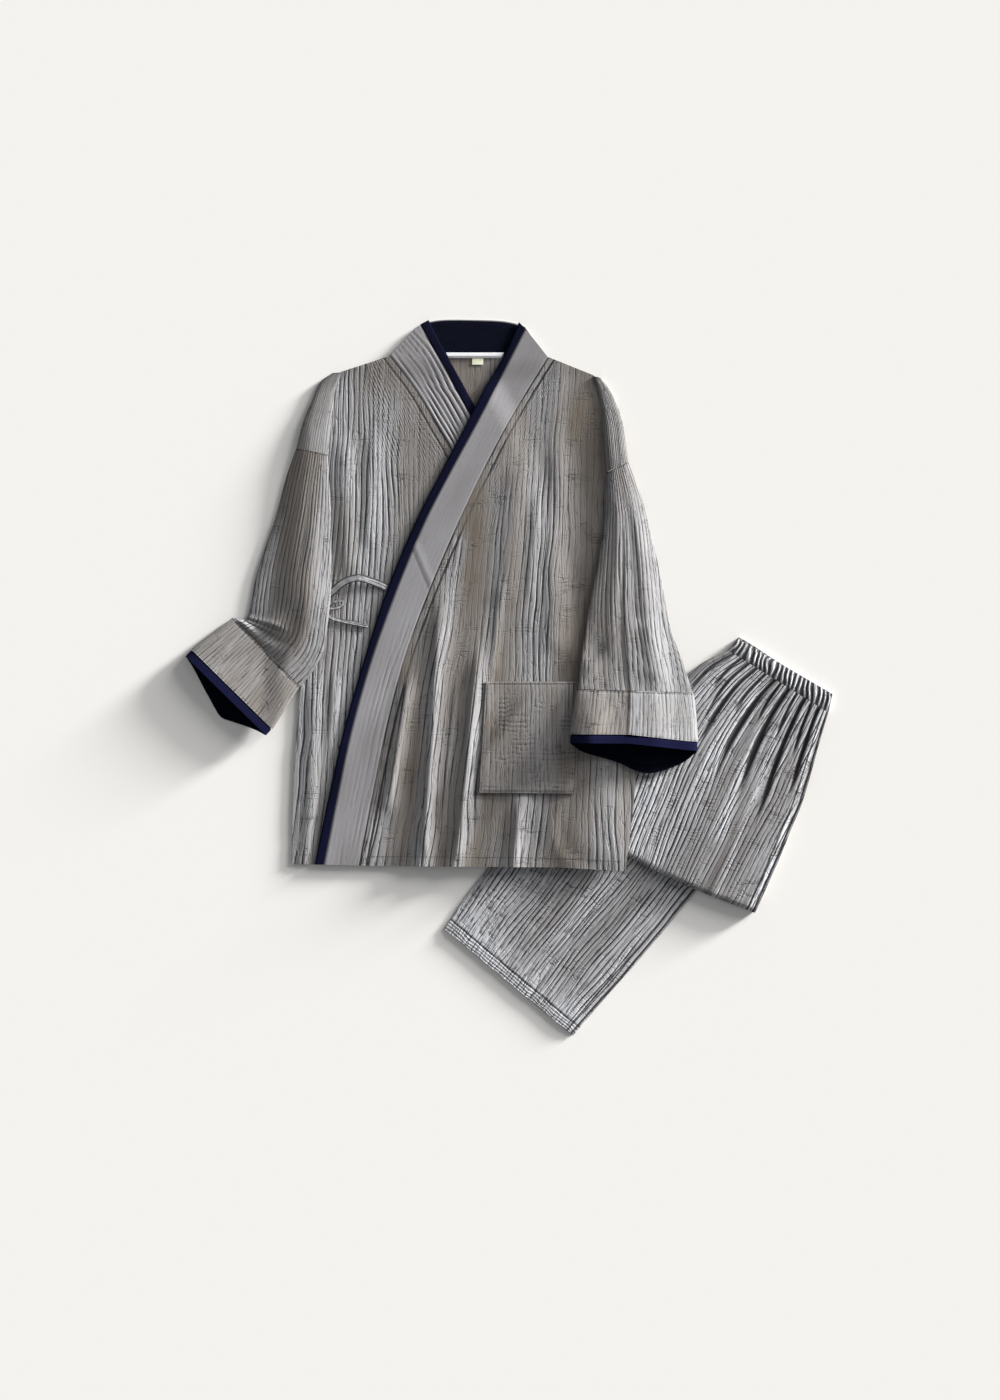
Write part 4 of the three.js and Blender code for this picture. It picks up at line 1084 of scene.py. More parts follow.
# Painted light: the cuff is paler past the crease, on the side that faces the lamps.
def left_cuff_tone(s, t):
    return 0.28 + 0.5 * smoothstep(t, CUFF_CREASE - 0.02, CUFF_CREASE + 0.03)


def right_cuff_tone(s, t):
    return 0.34 + 0.1 * t


for side, edges, lip, rise, form_at, tone_at, seed in [
    ("left", LEFT_CUFF, LEFT_LIP, LEFT_RISE, cuff_crease, left_cuff_tone, 71),
    ("right", RIGHT_CUFF, RIGHT_LIP, RIGHT_RISE, flat, right_cuff_tone, 72),
]:
    cuff(side, edges, lip, rise, form_at, tone_at, seed)
    cuff_facing(side, edges, lip, rise)
print("cuffs:", [name for name in made if "cuff" in name])

# %% [markdown]
# ## Pocket
# The pocket is a square of the same cloth laid on the front, so its height is the front's plus one
# layer. Its crinkle has a faint crosswise grain too, where the cloth was pressed and stitched.

# %% Patch pocket
POCKET_STRETCH = 1.1  # its ridges are a little closer than the front's
POCKET_WALL = 1.3
POCKET_SIDE = 152  # x of its outer side, about half way down


def pocket_xy(u, v):
    """A point of the pocket, u across it and v down it."""
    (left, top, right, _), (left_low, low, right_low, low_right) = POCKET
    return lerp(lerp(left, left_low, v), lerp(right, right_low, v), u), lerp(top, lerp(low, low_right, u), v)


def pocket_edge(x, y):
    """Distance in from the pocket's nearest side."""
    (left, top, _, _), (left_low, low, _, _) = POCKET
    inner_side = lerp(left_low, left, (y - low) / (top - low))
    return np.minimum(np.minimum(x - inner_side, top - y), np.minimum(y - low, POCKET_SIDE - x))


def pocket_face(x, y):
    """Face of the pocket and its looks."""
    edge = pocket_edge(x, y)
    patchy = smoothstep(drift(x / 24, y / 26, 84), -0.2, 0.5)
    grid = pleats((y + 2.5 * drift(x / 15, y / 13, 81)) / 6.8) * patchy
    ridge = 0.5 * crinkle(x * POCKET_STRETCH, y, 82) + 0.65 * grid * smoothstep(y, 258, 235)
    # Painted shade: a dark line round the pocket, in the groove by its stitched edge.
    ridge = ridge * smoothstep(edge, 1, 7) - 0.7 * bell(edge, 3.2, 1.1)
    tone = np.clip(0.28 + 0.3 * bell(x, 92, 24) + 0.2 * drift(x / 28, y / 50, 83), 0, 1)
    base = over_bottom(x, y) + CLOTH + layer_gap(x, y) + LAYER
    rounded = 0.5 * (1 - smoothstep(edge, 0, 1.6))
    return base + 1.4 + 0.45 * (1 + ridge) - rounded, np.stack([ridge, tone], axis=-1)


x, y = pocket_xy(*shares(84, 96))
z, looks = pocket_face(x, y)
shell("patch_pocket", *grids(x, y, z, POCKET_WALL), looks, cloth_map(x * POCKET_STRETCH, y, 82))

# %% [markdown]
# ## Ties
# The ties are flat tapes that follow a path in space: x, y and height above the front. All three lie
# flat; the free end and the bow's loop are narrower, as on the real set they stand on their edge and less
# of their width shows.

# %% Paths of the ties
TIE_WIDTH, TIE_THICK = 11.0, 1.2
TIE_REST = float(under_bottom(np.array(-160.0), np.array(380.0))) + CLOTH + CRINKLE + LAYER + TIE_THICK / 2
TIES = {
    "tie_band": [
        (-212, 391, 1), (-203, 398, 2), (-186, 412, 4), (-168, 418, 5), (-157, 417, 4), (-142, 412, 1),
        (-124, 404, -0.7),
    ],
    "tie_end": [(-213, 368, 0.5), (-204, 360, 0.3), (-190, 356, 0), (-170, 352, 0), (-151, 348, 0)],
    "tie_loop": [
        (-216, 375, 1.6), (-206, 373.5, 2.2), (-195, 375, 2.4), (-188, 379, 2.4), (-188, 384, 2.4),
        (-194, 385, 2.4), (-203, 382, 2.2), (-214, 379, 1.8),
    ],
}
TAPE_WIDTHS = {"tie_band": TIE_WIDTH, "tie_end": 6.4, "tie_loop": 4.6}
print("ties rest", round(TIE_REST, 1), "mm up")

# %% [markdown]
# A tape needs three directions at each point of its path: along it, sideways and up. The first is the
# difference between two near points of the path, and the others follow from it.

# %% Tapes along the paths
LOOK_AHEAD = 0.004  # share of a path over which its direction is taken


def tape_frame(points, share):
    """Centre, sideways and upward directions of a tape along its path."""
    path = np.array(points, dtype=float) + [0, 0, TIE_REST]
    centre = curve_through(path, share)
    ahead = curve_through(path, np.minimum(share + LOOK_AHEAD, 1))
    tangent = ahead - curve_through(path, np.maximum(share - LOOK_AHEAD, 0))
    tangent /= np.linalg.norm(tangent, axis=-1)[..., None]
    side = np.stack([-tangent[..., 1], tangent[..., 0], 0 * share], axis=-1)
    side /= np.linalg.norm(side, axis=-1)[..., None]
    return centre, side, np.cross(tangent, side)


def tape_point(points, share, sideways, upward):
    """Points beside and above a tape's centre line."""
    centre, side, up = tape_frame(points, share)
    return centre + side * sideways[..., None] + up * upward[..., None]


for name, points in TIES.items():
    u, v = shares(14, 90)
    sideways = (u - 0.5) * TAPE_WIDTHS[name] * (1 - 0.05 * bell(v, 0.45, 0.1))
    edge = np.abs(u - 0.5)
    pressed = 0.5 * smoothstep(edge, 0.42, 0.5)
    raised = TIE_THICK / 2 - pressed - 0.25 * bell(edge, 0.37, 0.05) + 0.12 * np.sin(v * 47 + 2 * u)
    # Painted shade: the tape is painted darker towards its sides, where it meets the cloth below.
    looks = np.stack([0.4 - 1.9 * smoothstep(edge, 0.24, 0.38), 1.0 + 0 * u], axis=-1)
    face = tape_point(points, v, sideways, raised)
    back = tape_point(points, v, sideways, -TIE_THICK / 2 + 0 * u)
    shell(name, face, back, looks, np.stack([sideways, v * 80], axis=-1))
print("tapes:", list(TIES))

# %% [markdown]
# The knot is mostly under the sleeve. It is a flattened ball with the grooves of a few wraps round it,
# closed at the top and the bottom by a fan of faces.

# %% Knot
KNOT_RADIUS, KNOT_THICK, KNOT_SQUASH = 8.0, 4.6, 0.9
POLE = 0.02  # share of the way down at which the rings of the ball start


def knot_rings():
    """Rings of points round the knot, from its top to its bottom."""
    u, v = shares(64, 30)
    polar, turn = math.pi * lerp(POLE, 1 - POLE, v), 2 * math.pi * u
    wraps = 1 - 0.13 * np.abs(np.sin(1.5 * turn + 2.2 * v)) ** 0.6
    x = KNOT[0] + KNOT_RADIUS * np.sin(polar) * np.cos(turn) * wraps
    y = KNOT[1] + KNOT_SQUASH * KNOT_RADIUS * np.sin(polar) * np.sin(turn) * wraps
    z = TIE_REST - TIE_THICK / 2 + KNOT_THICK / 2 * (1 + np.cos(polar) * wraps)
    tips = np.array([[*KNOT, z[0].mean()], [*KNOT, z[-1].mean()]])
    return np.stack([x, y, z], axis=-1)[:, :-1], tips


def fan(start, around, tip):
    """Faces that close a ring of points, two steps of it at a time, at its tip."""
    loop = start + np.arange(around)
    corners = [np.roll(loop, -step)[::2] for step in range(3)]
    return np.stack([*corners, np.full(around // 2, tip)], axis=-1)


ring, tips = knot_rings()
points = np.concatenate([ring.reshape(-1, 3), tips])
rows, around = ring.shape[:2]
top_fan = fan(0, around, rows * around)
low_fan = fan((rows - 1) * around, around, rows * around + 1)[:, ::-1]
quads = outward(points, np.concatenate([grid_quads(rows, around, 0, True), top_fan, low_fan]))
new_mesh("tie_knot", points, quads, np.zeros((len(points), 2)), points[:, :2])
print("knot is", 2 * KNOT_RADIUS, "mm across and", KNOT_THICK, "mm high")

# %% [markdown]
# ## Trousers
# The trousers are folded lengthwise and then across. Each stretch runs between its two edges. Folds fall
# from the gathered waist, deep at first and fading down the leg. Each row of the table is one fold: where
# it starts and ends across the leg, how far down it reaches, how deep it is and how wide.

# %% Gathers and pale bands
GATHER_DEPTH = 4.0

GATHER_FOLDS = table("waist end reach depth width", [
    [0.05, 0.08, 0.30, 3.0, 0.009],
    [0.12, 0.20, 0.24, 3.4, 0.012],
    [0.20, 0.27, 0.36, 3.0, 0.010],
    [0.28, 0.33, 0.50, 4.0, 0.013],
    [0.37, 0.40, 0.30, 3.2, 0.010],
    [0.46, 0.49, 0.62, 4.0, 0.015],
    [0.52, 0.56, 0.26, 3.0, 0.009],
    [0.60, 0.655, 0.70, 4.0, 0.016],
    [0.68, 0.72, 0.30, 3.2, 0.010],
    [0.76, 0.80, 0.80, 4.0, 0.013],
    [0.83, 0.86, 0.34, 3.0, 0.010],
    [0.90, 0.915, 0.60, 3.6, 0.012],
])
LEG_BANDS = [
    (0.130, (0.16, 0.0), (0.20, 0.5), (0.16, 1.0)),
    (0.060, (0.42, 0.1), (0.44, 0.5), (0.40, 1.0)),
    (0.035, (0.57, 0.0), (0.61, 0.4), (0.64, 0.8)),
    (0.022, (0.69, 0.0), (0.735, 0.5), (0.76, 1.0)),
    (0.014, (0.955, 0.0), (0.968, 1.0)),
]


def gathers(u, v, aside=0.0):
    """Depth of the gathered folds, or with `aside`, of their crests that many widths to one side."""
    total = np.zeros(u.shape)
    for waist, end, reach, depth, width in zip(*GATHER_FOLDS.values()):
        place = lerp(waist, end, np.clip(v / reach, 0, 1)) + aside * width
        total += depth * (1 - smoothstep(v, reach * 0.4, reach)) * bell(u, place, width)
    return np.minimum(total, GATHER_DEPTH)


def layered_edge(u):
    """Two dark lines where the layers of the folded side end, one under the other: painted shade at each
    step.
    """
    return 1.6 * bell(u, 0.984, 0.0045) + 1.3 * bell(u, 0.95, 0.004)


def leg_looks(u, v, across, along, seed):
    """Ridges of the trousers: closer and sharper than the jacket's, painted dark in the gathers: painted
    shade.
    """
    wander = drift(across / 22, along / 150, seed + 7)
    # Painted highlight: the tone rises on the crest beside each gather, on one side of it only.
    crests = 0.6 * gathers(u, v, 2.4) / GATHER_DEPTH
    tone = np.clip(0.22 + 0.7 * along_bands(LEG_BANDS, u, v) + crests + 0.3 * wander, 0, 1)
    ridge = crinkle(across, along, seed) * lerp(0.4, 1.25, tone)
    return ridge - 2.3 * gathers(u, v) / GATHER_DEPTH - layered_edge(u), tone


print(len(GATHER_FOLDS["waist"]), "gathered folds under the waist")

# %% [markdown]
# The lower stretch ends in the hem. Near it the lengthwise ridges fade and short crosswise creases take
# over. Where the upper stretch lies on it, its ridges stay low. The layers under it are one form whose
# side goes in and out by rings of (level, inset), so that it looks like a stack.

# %% Lower stretch with its hem
LOWER_CLOTH = (270, 330)  # width and length that its crinkle is drawn for
HEM_SEAM = 20.5  # from the hem to its stitches
HEM_ROWS = np.concatenate([np.linspace(0, 0.08, 20), np.linspace(0.08, 1, 82)[1:]])  # closer near the hem
LOWER_COLUMNS = 231
LOWER_EDGE = 1.6  # how far the sides of the lower stretch come down
LOWER_LAYERS = ((0.3, -0.6), (0.42, 0.3), (0.5, 0.9), (0.58, 0.3), (0.7, -0.6))
FAR = 999  # millimetres: nowhere near


def edge_drop(u, deep):
    """How far a stretch comes down at its two sides."""
    return deep * (1 - smoothstep(np.minimum(u, 1 - u), 0, 0.06))


def between(edges, u, v):
    """Points of a stretch between its two edges, u across it and v down it."""
    edges = np.array(edges, dtype=float)
    xy = lerp(curve_through(edges[:, :2], v), curve_through(edges[:, 2:], v), u[..., None])
    return xy[..., 0], xy[..., 1]


def lower_ridges(u, across, along, tone, near_hem):
    """Ridges that fade towards the hem, crosswise creases that grow there, and the hem's seam."""
    hem = smoothstep(along, 19, 24)
    crosswise = np.sin(2 * math.pi * (along + 2 * drift(across / 14, along / 9, 93)) / 5.6)
    patchy = smoothstep(drift(across / 9, along / 12, 96), -0.7, 0.5)
    patchy = patchy * smoothstep(u + along / 500, 0.95, 0.45)
    creases = pleats((along + 6 * drift(across / 13, along / 20, 97)) / 10) * patchy * hem
    strength = lerp(1.5, 0.3, near_hem) * lerp(0.7, 1.1, tone)
    lengthwise = crinkle(across, along, 94) * strength - layered_edge(u)
    # The hem's seam is a groove and is painted dark as well: painted shade.
    return lengthwise + 0.35 * crosswise * (1 - hem) + 0.35 * creases - 0.8 * bell(along, HEM_SEAM, 1.3)


u, v = np.meshgrid(np.linspace(0, 1, LOWER_COLUMNS), HEM_ROWS)
x, y = between(LOWER_LEG, u, v)
across, along = u * LOWER_CLOTH[0], v * LOWER_CLOTH[1]
near_hem = smoothstep(along + 12 * drift(across / 20, along / 30, 98), 70, 20)
tone = np.clip(0.58 + 0.3 * drift(across / 26, along / 170, 92) + 0.4 * near_hem, 0, 1)
ridge = lower_ridges(u, across, along, tone, near_hem)
clear_of_upper = np.minimum(outside(UPPER_OUTLINE, x, y), np.where((y < -12) | (x > 232), FAR, 0))
amplitude = lerp(0.25, 0.75, smoothstep(clear_of_upper, 6, 24))
top = LOWER_THICK - edge_drop(u, LOWER_EDGE) - 0.7 + amplitude * (1 + np.maximum(ridge, LOWEST_RIDGE))
shell("trouser_lower", *grids(x, y, top), np.stack([ridge, tone], axis=-1), cloth_map(across, along, 94))

u, v = shares(40, 30)
x, y = between(LOWER_LEG, lerp(0.004, 0.996, u), lerp(0.006, 1, v))
top = LOWER_THICK - edge_drop(u, LOWER_EDGE) - CLOTH - LAYER
shell("trouser_lower_layers", *grids(x, y, top, top), rings=LOWER_LAYERS)

# %% [markdown]
# A rolled fold closes the lower end of the upper stretch: after its last flat row the cloth goes on round
# half a turn. The fold bows out a little in the middle. The layers folded inside are one rounded form
# whose side shows the stack of cloth, thicker this time.

# %% Upper stretch, its rolled fold and the layers inside
FLAT_ROWS, ROLL_ROWS, COLUMNS = 92, 12, 290
FOLD_BOW, FOLD_PUFF, ROLL_DEPTH = 8.0, 4.0, 8.0
FOLD_AWAY = (-0.46, -0.885)  # the way the fold faces
UPPER_EDGE = 2.5  # how far the sides of the upper stretch come down
UPPER_CLOTH = (220, 290, 340)  # width at the waist, width at the fold, and length
INNER_LAYERS = (
    (0.15, -0.3), (0.25, -0.8), (0.32, 0.2), (0.38, 1.0), (0.44, 0.2), (0.5, -0.8), (0.56, 0.2), (0.62, 1.0),
    (0.68, 0.2), (0.75, -0.8), (0.88, -0.3),
)


def upper_top(u, v):
    """Height of the upper stretch, puffed up towards its fold."""
    puff = FOLD_PUFF * smoothstep(u, 0.3, 0.6) * smoothstep(v, 0.35, 0.9)
    return UPPER_THICK + puff - edge_drop(u, UPPER_EDGE)


def on_lower(x, y):
    """Height of the lower stretch under the upper one."""
    return (LOWER_THICK + LAYER) * drape(outside(LOWER_OUTLINE, x, y), 60)


def bow_at(u, v):
    """How far the fold bows out."""
    return FOLD_BOW * np.sin(math.pi * u) * smoothstep(v, 0.6, 1)


u, rows = np.meshgrid(np.linspace(0, 1, COLUMNS + 1), np.arange(FLAT_ROWS + ROLL_ROWS + 1.0))
v = np.minimum(rows / FLAT_ROWS, 1)
angle = math.pi * np.maximum(rows - FLAT_ROWS, 0) / ROLL_ROWS
x, y = between(UPPER_LEG, u, v)
across = (u - 0.5) * lerp(UPPER_CLOTH[0], UPPER_CLOTH[1], v)
along = v * UPPER_CLOTH[2] + ROLL_DEPTH * angle
ridge, tone = leg_looks(u, v, across, along, 95)
rolling = smoothstep(angle, 0, 0.8)
swell = 0.7 + 0.7 * np.maximum(ridge, -1.25)
top = upper_top(u, v) - 0.8 * gathers(u, v) - 0.7 * (1 - rolling) + swell * (1 - rolling)
base = on_lower(x, y)
half = (top - base) / 2


def rolled(radius, thin):
    """One side of the cloth, carried round the roll at this radius."""
    reach = bow_at(u, v) + radius * np.sin(angle)
    height = (top + base) / 2 + (half - thin) * np.cos(angle)
    return np.stack([x + FOLD_AWAY[0] * reach, y + FOLD_AWAY[1] * reach, height], axis=-1)


shell("trouser_upper", rolled(ROLL_DEPTH, 0), rolled(ROLL_DEPTH - WALL, np.minimum(WALL, 0.6 * half)),
      np.stack([ridge, tone], axis=-1), cloth_map(across, along, 95))

u, v = shares(60, 40)
place, depth = lerp(0.006, 0.994, u), lerp(0.004, 0.965, v)
x, y = between(UPPER_LEG, place, depth)
bow = bow_at(place, depth)
room = GATHER_DEPTH * (1 - smoothstep(depth, 0.4, 0.75))
top = upper_top(place, depth) - CLOTH - LAYER - room
face, back = grids(x + FOLD_AWAY[0] * bow, y + FOLD_AWAY[1] * bow, top, top - on_lower(x, y))
shell("trouser_inner_folds", face, back, rings=INNER_LAYERS)

# %% [markdown]
# The waistband is two faces of cloth drawn together by elastic. Each small gather leans its own way.
# The one behind shows a little above the front one at its left end.

# %% Waistband
WAIST_GATHERS = 21
WAIST_CLOTH = np.array([170, 26])  # width and height
WAIST_FOOT, WAIST_RISE, WAIST_WALL = 7.7, 3.3, 6.2
BACK_FOOT, BACK_RISE, BACK_SHOWN = 4.6, 1.1, 0.14


def waist_xy(u, v, beyond):
    """A point of the waistband, moved `beyond` it by that share of its height."""
    low, high = np.array(WAISTBAND[0], dtype=float), np.array(WAISTBAND[1], dtype=float)
    low = lerp(low[:2], low[2:], u[..., None])
    high = lerp(high[:2], high[2:], u[..., None])
    xy = lerp(low, high, v[..., None]) + (high - low) * beyond[..., None]
    return xy[..., 0], xy[..., 1]


u, v = shares(WAIST_GATHERS * 11, 14)
x, y = waist_xy(u, lerp(0.02, 1, v), 0 * u)
lean = 0.55 * drift(u * 9, v * 1.5, 101) + 0.5 * (v - 0.5)
gather = np.sin(math.pi * (u * WAIST_GATHERS + lean)) ** 2
rounded = np.sin(math.pi * lerp(0.1, 0.9, v))
z = WAIST_FOOT + WAIST_RISE * rounded * (0.15 + 0.85 * gather * (0.8 + 0.2 * drift(u * 20, v * 2, 102)))
# Painted shade: the colour is darker between the gathers and paler on them.
looks = np.stack([3.2 * gather - 2.3, 0.9 + 0.3 * drift(u * 12, v, 103)], axis=-1)
shell("waistband_front", *grids(x, y, z, z - WAIST_WALL), looks, np.stack([u, v], axis=-1) * WAIST_CLOTH)

u, v = shares(WAIST_GATHERS * 6, 8)
x, y = waist_xy(u, lerp(0.03, 1, v), BACK_SHOWN * (1 - smoothstep(u, 0.05, 0.55)) * v)
gather = np.abs(np.sin(math.pi * (u * WAIST_GATHERS * 0.9 + 0.3 * drift(u * 9, v, 104))))
z = BACK_FOOT + BACK_RISE * gather
# Painted shade between its gathers, as on the front band.
looks = np.stack([2 * gather - 1.3, 0.4 + 0 * u], axis=-1)
shell("waistband_back", *grids(x, y, z, z), looks, np.stack([u, v], axis=-1) * WAIST_CLOTH)
print("pieces:", len(made), "faces:", sum(len(piece.data.polygons) for piece in made.values()))

# %% [markdown]
# ## Sewing
# A stitch is a tiny rounded bar of thread lying on the cloth. One function lays them along any line
# drawn on a surface, and each seam becomes one joined mesh. A stitch is about 3 mm long; on the finished
# picture a line of them reads as a fine broken line, just as it does on a real seam.

# %% Stitch lines
STITCH, STITCH_GAP, THREAD = 3.0, 1.6, 0.45
HAIR = 0.12  # how far a stitch's middle is above the cloth
BAR_SECTION = ((-0.5, 0), (-0.3, 0.7), (0.3, 0.7), (0.5, 0), (0.3, -0.6), (-0.3, -0.6))
BAR = np.array([[end, aside, up] for end in (-0.5, 0.5) for aside, up in BAR_SECTION])
BAR_SIDES = [[k, (k + 1) % 6, (k + 1) % 6 + 6, k + 6] for k in range(6)]
BAR_ENDS = [[0, 1, 2, 5], [5, 2, 3, 4], [11, 8, 7, 6], [10, 9, 8, 11]]
BAR_FACES = np.array(BAR_SIDES + BAR_ENDS)


def stitches(name, lines):
    """One mesh of stitches along several lines of 3-D points."""
    points, quads = [], []
    count = 0
    for line in lines:
        line = np.asarray(line, dtype=float)
        steps = np.concatenate([[0], np.cumsum(np.linalg.norm(np.diff(line, axis=0), axis=1))])
        middles = np.arange(STITCH, steps[-1] - STITCH / 2, STITCH + STITCH_GAP)

        def at(distance):
            return np.stack([np.interp(distance, steps, line[:, k]) for k in range(3)], axis=-1)

        centre = at(middles)
        ahead = at(middles + STITCH / 2) - at(middles - STITCH / 2)
        ahead /= np.linalg.norm(ahead, axis=1)[:, None]
        aside = np.stack([-ahead[:, 1], ahead[:, 0], 0 * middles], axis=-1)
        aside /= np.linalg.norm(aside, axis=1)[:, None]
        up = np.cross(ahead, aside)
        body = (centre[:, None] + ahead[:, None] * (BAR[:, 0] * STITCH)[None, :, None]
                + aside[:, None] * (BAR[:, 1] * THREAD)[None, :, None]
                + up[:, None] * (BAR[:, 2] * THREAD)[None, :, None])
        points.append(body.reshape(-1, 3))
        firsts = count + len(BAR) * np.arange(len(middles))
        quads.append((BAR_FACES[None] + firsts[:, None, None]).reshape(-1, 4))
        count += len(BAR) * len(middles)
    points, quads = np.concatenate(points), np.concatenate(quads)
    return new_mesh(name, points, outward(points, quads), np.zeros((len(points), 2)), points[:, :2])


def on_face(face_of, x, y):
    """Points on a panel's face, a hair above it."""
    return np.stack([x, y, face_of(x, y)[0] + HAIR], axis=-1)


print("a stitch has", len(BAR_FACES), "faces")

# %% [markdown]
# The seams: beside both collar bands, along the hems, round the pocket and along both sides of the tie.
# On the under front only what shows is stitched.

# %% Seams
HEM_DEPTH = 14
TIE_SEAM = 0.37  # share of the tie's width from its middle to each seam


def tie_seam(sign):
    """The line of stitches along one side of the sewn tie."""
    share = np.linspace(0.03, 0.97, 60)
    return tape_point(TIES["tie_band"], share, 0 * share + sign * TIE_SEAM * TIE_WIDTH, 0 * share + 0.42)


heights = np.linspace(8, 730, 400)
seam_over = from_table(LINES, "overSeam", heights) + STITCH_LINE / OVER_SLANT
seam_under = from_table(LINES, "underSeam", heights) - STITCH_LINE / UNDER_SLANT
shown = seam_under < from_table(LINES, "overEdge", heights) - 2
hem_over = np.linspace(-150, 218, 260)
hem_under = np.linspace(-256, -232, 30)
stitches("stitches_jacket", [
    on_face(over_face, seam_over, heights),
    on_face(under_face, seam_under[shown], heights[shown]),
    on_face(over_face, hem_over, straight(HEM_LINE, hem_over) + HEM_DEPTH),
    on_face(under_face, hem_under, straight(HEM_LINE, hem_under) + HEM_DEPTH),
])
down, across = np.linspace(0.02, 0.985, 120), np.linspace(0.025, 0.975, 110)
pocket_lines = [pocket_xy(0 * down + place, down) for place in (0.022, 0.978)]
pocket_lines += [pocket_xy(across, 0 * across + place) for place in (0.982, 0.018)]
stitches("stitches_pocket", [on_face(pocket_face, *line) for line in pocket_lines])
stitches("stitches_ties", [tie_seam(sign) for sign in (-1, 1)])
print("stitch meshes:", [(name, len(made[name].data.polygons)) for name in made if "stitch" in name])

# %% [markdown]
# ## Finishes
# A finish is a small graph of shader nodes. Two helpers keep that short: `Wire` is an output that does
# arithmetic, and `Finish.node` adds any node, setting its inputs from numbers or from wires.

# %% Shader helpers


class Wire:
    """One output of a shader node; arithmetic on it adds Math nodes."""

    def __init__(self, finish, socket):
        self.finish, self.socket = finish, socket

    def _math(self, operation, *values):
        return self.finish.node("ShaderNodeMath", {"operation": operation}, dict(enumerate(values)))

    def __add__(self, other):
        return self._math("ADD", self, other)

    def __sub__(self, other):
        return self._math("SUBTRACT", self, other)

    def __mul__(self, other):
        return self._math("MULTIPLY", self, other)

    def __truediv__(self, other):
        return self._math("DIVIDE", self, other)

    def __rsub__(self, other):
        return self._math("SUBTRACT", other, self)

    __radd__, __rmul__ = __add__, __mul__

    def sine(self):
        """Its sine."""
        return self._math("SINE", self)

    def size(self):
        """Its value without its sign."""
        return self._math("ABSOLUTE", self)

    def clipped(self):
        """Its value kept between 0 and 1."""
        return self._math("MINIMUM", self._math("MAXIMUM", self, 0.0), 1.0)


class Finish:
    """A material with one Principled BSDF, and methods that add nodes to it."""

    def __init__(self, name):
        self.material = bpy.data.materials.new(name)
        self.material.use_nodes = True
        self.tree = self.material.node_tree
        self.surface = self.tree.nodes["Principled BSDF"]

    def put(self, socket, value):
        """Links a wire to a socket, or sets the socket's own number."""
        if isinstance(value, Wire):
            self.tree.links.new(value.socket, socket)
        else:
            socket.default_value = value

    def node(self, kind, settings, values, output=0):
        """Any node, from its type, its settings and the numbers or wires for its inputs."""
        made_node = self.tree.nodes.new(kind)
        for name, setting in settings.items():
            setattr(made_node, name, setting)
        for name, value in values.items():
            self.put(made_node.inputs[name], value)
        return Wire(self, made_node.outputs[output])

    def attribute(self, name):
        """A value that the mesh carries at every point."""
        return self.node("ShaderNodeAttribute", {"attribute_name": name}, {}, "Fac")

    def mix(self, factor, a, b):
        """A colour that lies `factor` of the way from a to b; a colour mix has them as inputs 6 and 7."""
        return self.node("ShaderNodeMix", {"data_type": "RGBA"}, {"Factor": factor, 6: a, 7: b}, 2)

    def cloth(self):
        """The cloth's own coordinates."""
        return self.node("ShaderNodeUVMap", {"uv_map": "cloth"}, {})

    def noise(self, stretch, scale, detail=3.0):
        """Noise on the cloth's own coordinates, drawn out along it."""
        factors = {0: self.cloth(), 1: stretch}
        stretched = self.node("ShaderNodeVectorMath", {"operation": "MULTIPLY"}, factors)
        return self.node("ShaderNodeTexNoise", {}, {"Vector": stretched, "Scale": scale, "Detail": detail})

    def creases(self, stretch, scale, width):
        """Thin wandering lines: 1 where a noise crosses its middle value, 0 a little way off."""
        return (1 - (self.noise(stretch, scale, 2.0) - 0.5).size() / width).clipped()

    def wave(self, axis, pitch, bend=0.0):
        """A sine wave on the cloth, across it for axis 0 and along it for axis 1."""
        place = self.node("ShaderNodeSeparateXYZ", {}, {0: self.cloth()}, axis) + bend
        return (place * (2 * math.pi / pitch)).sine()

    def weave(self, pitch):
        """Height of a plain weave: threads over and under each other, each `pitch` centimetres."""
        return self.wave(0, pitch) * self.wave(1, pitch)

    def valleys(self, axis, pitch, narrow, bend=0.0):
        """Thin lines where the ridges meet: 1 in the valley, 0 a little way off."""
        return (1 - self.wave(axis, 2 * pitch, bend).size() * narrow).clipped()

    def bump(self, height, distance):
        """Shades the surface as if it had this height, times a distance in metres."""
        values = {"Height": height, "Distance": distance, "Strength": 1.0}
        self.put(self.surface.inputs["Normal"], self.node("ShaderNodeBump", {}, values))

    def set(self, **values):
        """Sets or links inputs of the surface, and hands over the finished material."""
        for name, value in values.items():
            self.put(self.surface.inputs[name.replace("_", " ")], value)
        return self.material


print("shader helpers:", [name for name in vars(Finish) if not name.startswith("_")])

# %% [markdown]
# ## The gauze
# Two colours of the same yarn: a warm taupe where it lies smooth and a cooler, paler grey where it is
# drawn up; the pale grey is partly painted light and sheen, the taupe partly painted shade. The valleys
# between ridges are too narrow for a soft lamp to darken, so the colour darkens with the ridge value:
# painted shade. On top of that come three kinds of dark line, painted shade drawn in the finish alone:
#
# * main valleys, one to each ridge of the mesh, where the cloth is drawn up;
# * fine creases, which lie where a noise, drawn out along the cloth, crosses its middle value, so they
#   wander, fork and end as real creases do;
# * crosswise lines, in patches, for the crackle of pressed gauze.
#
# `lines` says how dark all three are, `fineness` how much of them is fine creases, `crackle` how much
# there is crosswise, and `depth` how much the ridges of the mesh darken the valleys with painted shade.

# %% Materials
YARN_ACROSS, YARN_DRIFT = (1.0, 0.065, 1.0), (0.6, 0.12, 1.0)  # how noise is stretched along the cloth
CROSSWISE_PITCH, CROSSWISE_BEND = 0.75, 2.4  # centimetres
GAUZE_THREAD, COTTON_THREAD = 0.12, 0.09  # centimetres


